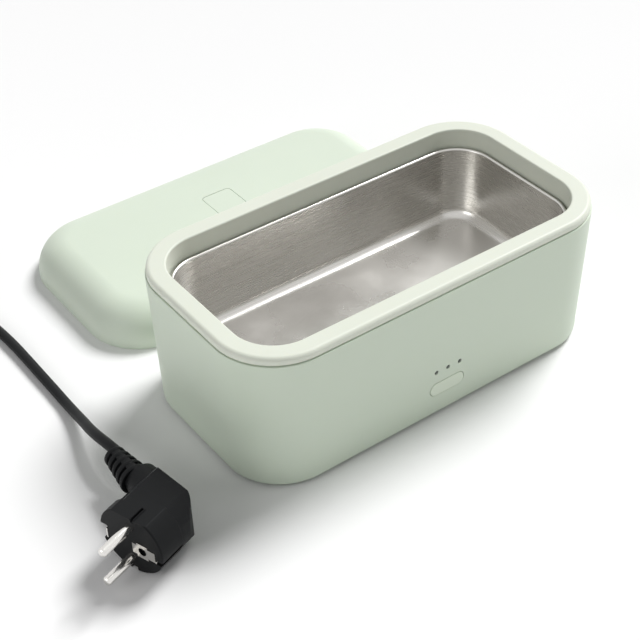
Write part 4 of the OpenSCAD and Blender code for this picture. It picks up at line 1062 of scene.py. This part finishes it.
def make_rim():
    outer = CORNER_R - RIM_STEP
    inside_shell = CORNER_R - SHELL_WALL - RIM_SHELL_GAP
    groove_x = outer - RIM_GROOVE_DEPTH
    section = [(groove_x, SEAM_Z), (groove_x, SEAM_Z + RIM_GROOVE)]
    section += arc(outer - RIM_SOFT, SEAM_Z + RIM_GROOVE + RIM_SOFT, RIM_SOFT, -90, 0, 3)
    section += arc(outer - RIM_EDGE_R, RIM_TOP - RIM_EDGE_R, RIM_EDGE_R, 0, 90)
    section += arc(OPENING_R + RIM_LIP_R, RIM_TOP - RIM_LIP_R, RIM_LIP_R, 90, 180, 6)
    section += [(OPENING_R, SKIRT_LOW), (OPENING_R + SKIRT_T, SKIRT_LOW),
                (OPENING_R + SKIRT_T, RIM_TOP - RIM_TOP_T),
                (inside_shell, RIM_TOP - RIM_TOP_T), (inside_shell, SEAM_Z), section[0]]
    rim = sweep_outline("rim_collar_moulding", section, BOX_AT)
    leave_edit()
    settle(rim)
    dress(rim, "box", FINISH["rim"], "rim_plastic", "rim_collar")


def make_button():
    travel_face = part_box("power_button")[0].y
    button = pill_block("power_button_cap", BUTTON_L, BUTTON_H, BUTTON_T,
                        (BUTTON_X, travel_face, BUTTON_Z))
    bevel_edges(lambda e: all(v.co.y < travel_face + NEAR for v in e.verts), 0.5 * MM, 4)
    leave_edit()
    settle(button)
    dress(button, "button", FINISH["button"], "button_plastic", "power_button")


def make_windows():
    face = front_face(LED_Z)
    lenses = []
    for i in (-1, 0, 1):
        lens = rod("light_lens", LED_R, LENS_L,
                   (BUTTON_X + i * LED_PITCH, face + LENS_SUNK + LENS_L / 2, LED_Z), "Y",
                   HOLE_STEPS)
        edit()
        bevel_edges(lambda e: all(v.co.y < face + LENS_SUNK + NEAR for v in e.verts), 0.4 * MM, 4)
        leave_edit()
        lenses.append(lens)
    lenses = join_all("light_lens", lenses)
    settle(lenses)
    dress(lenses, "box", FINISH["window"], "window_plastic", "light_windows")


STEEL_T = 0.8 * MM
BEAD_R = 1.2 * MM
CONTAINER_EDGE_R = 7 * MM
CONTAINER_TOP_R = 21 * MM
CONTAINER_FOOT_R = 17.41 * MM


def make_container():
    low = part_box("food_container")[0].z
    bead_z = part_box("food_container")[1].z - BEAD_R
    bead_x = CONTAINER_TOP_R + BEAD_R - STEEL_T
    inner_edge = CONTAINER_EDGE_R - STEEL_T
    edge_x = CONTAINER_FOOT_R - CONTAINER_EDGE_R
    edge_z = low + CONTAINER_EDGE_R
    section = [(0, low + STEEL_T)]
    section += arc(edge_x, edge_z, inner_edge, -90, 0)
    section += arc(bead_x, bead_z, BEAD_R, 180, -120, 20)
    section += [(CONTAINER_TOP_R, bead_z - 1.6 * BEAD_R)]
    section += arc(edge_x, edge_z, CONTAINER_EDGE_R, 0, -90)
    section += [(0, low)]
    container = sweep_outline("food_container_pressing", section, BOX_AT)
    fill_middle()
    leave_edit()
    settle(container)
    dress(container, "container", FINISH["steel"], "container_steel", "food_container")


# ---- the lid ----

LID_EDGE_R = 19.8 * MM
LID_WALL = 2.4 * MM
VENT_W = 19.6 * MM
VENT_L = 40 * MM
VENT_T = 1.4 * MM
VENT_CORNER = 2.5 * MM
VENT_GAP = 0.25 * MM
STEM_R = 3 * MM
STEM_HOLE_R = 3.5 * MM
STEM_HOLE_L = 10 * MM


def make_lid():
    top = LID_HIGH.z
    edge_x = CORNER_R - LID_EDGE_R
    edge_z = top - LID_EDGE_R
    soft = 0.6 * MM
    section = [(0, top)]
    section += arc(edge_x, edge_z, LID_EDGE_R, 90, 0, 20)
    section += arc(CORNER_R - soft, LID_LOW.z + soft, soft, 0, -90, 4)
    section += [(CORNER_R - LID_WALL + 0.4 * MM, LID_LOW.z),
                (CORNER_R - LID_WALL, LID_LOW.z + 0.4 * MM)]
    section += arc(edge_x, edge_z, LID_EDGE_R - LID_WALL, 0, 90, 12)
    section += [(0, top - LID_WALL)]
    lid = sweep_outline("lid_moulding", section, LID_AT)
    fill_middle()
    leave_edit()
    pocket = rounded_block(
        "vent_pocket", (VENT_W + 2 * VENT_GAP, VENT_L + 2 * VENT_GAP, 2 * VENT_T),
        (LID_AT.x, LID_AT.y, top), VENT_CORNER + VENT_GAP)
    stem_hole = rod("stem_hole", STEM_HOLE_R, STEM_HOLE_L, (LID_AT.x, LID_AT.y, top - 4 * MM))
    cut(lid, pocket, stem_hole)
    settle(lid)
    dress(lid, "lid", FINISH["lid"], "mint_plastic", "lid_shell")


def make_vent_cap():
    low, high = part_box("vent_cap")
    cap = rounded_block("vent_cap_plate", (VENT_W, VENT_L, VENT_T),
                        (LID_AT.x, LID_AT.y, high.z - VENT_T / 2), VENT_CORNER)
    edit()
    bevel_edges(lambda e: all(v.co.z > high.z - NEAR for v in e.verts), 0.25 * MM, 3)
    leave_edit()
    stem = rod("vent_stem", STEM_R, high.z - low.z - VENT_T / 2,
               (LID_AT.x, LID_AT.y, (low.z + high.z - VENT_T / 2) / 2))
    cut(cap, stem, operation="UNION")
    settle(cap)
    dress(cap, "vent", FINISH["vent"], "vent_plastic", "vent_cap")


# ---- the set ----

FLOOR_SIZE = 12
FLOOR_WHITE = 0.94
WORLD_ON_OBJECT = 0.25
WORLD_IN_VIEW = 1.0


def add_lamp(data, at, towards):
    lamp = bpy.data.objects.new(data.name, data)
    scene.collection.objects.link(lamp)
    lamp.location = at
    lamp.rotation_euler = (Vector(towards) - Vector(at)).to_track_quat("-Z", "Y").to_euler()


def area_light(name, at, towards, size, power):
    data = bpy.data.lights.new(name, "AREA")
    data.shape = "DISK"
    data.size = size
    data.energy = power
    add_lamp(data, at, towards)


def far_light(name, at, softness, strength):
    """A large, distant softbox: its rays run alike over the whole set."""
    data = bpy.data.lights.new(name, "SUN")
    data.angle = softness
    data.energy = strength
    add_lamp(data, at, (0, 0, 0))


def make_floor():
    bpy.ops.object.select_all(action="DESELECT")
    bpy.ops.mesh.primitive_plane_add(size=FLOOR_SIZE, location=(0, 0, 0))
    floor = added("floor")
    material, shader = new_material("floor_white")
    shader.inputs["Base Color"].default_value = (FLOOR_WHITE, FLOOR_WHITE, FLOOR_WHITE, 1)
    shader.inputs["Roughness"].default_value = 0.9
    shader.inputs["Specular IOR Level"].default_value = 0.1
    floor.data.materials.append(material)


def make_world():
    """Soft light on the object, and a white background in view, in gloss and through glass."""
    world = bpy.data.worlds.new("studio")
    scene.world = world
    world.use_nodes = True
    nodes, links = world.node_tree.nodes, world.node_tree.links
    background = nodes["Background"]
    background.inputs["Color"].default_value = (1, 1, 1, 1)
    rays = nodes.new("ShaderNodeLightPath")
    seen = nodes.new("ShaderNodeMath")
    seen.operation = "MAXIMUM"
    links.new(rays.outputs["Is Camera Ray"], seen.inputs[0])
    links.new(rays.outputs["Is Glossy Ray"], seen.inputs[1])
    also = nodes.new("ShaderNodeMath")
    also.operation = "MAXIMUM"
    links.new(seen.outputs[0], also.inputs[0])
    links.new(rays.outputs["Is Transmission Ray"], also.inputs[1])
    level = nodes.new("ShaderNodeMapRange")
    level.inputs["To Min"].default_value = WORLD_ON_OBJECT
    level.inputs["To Max"].default_value = WORLD_IN_VIEW
    links.new(also.outputs[0], level.inputs["Value"])
    links.new(level.outputs["Result"], background.inputs["Strength"])


def make_set():
    make_world()
    make_floor()
    far_light("key", at=(0.65, 0.16, 0.74), softness=0.4, strength=3.05)
    area_light("fill_right", at=(0.8, -0.6, 0.35), towards=(0.05, -0.07, 0.03), size=0.5,
               power=1.0)
    area_light("fill_left", at=(-0.9, -0.1, 0.45), towards=(-0.1, -0.05, 0.03), size=0.5,
               power=1.7)
    scene.view_settings.view_transform = "Standard"


place_camera()
make_finishes()
make_lead()
paint_cad_nodes()
make_outer_shell()
make_rim()
make_button()
make_windows()
make_container()
make_lid()
make_vent_cap()
make_set()
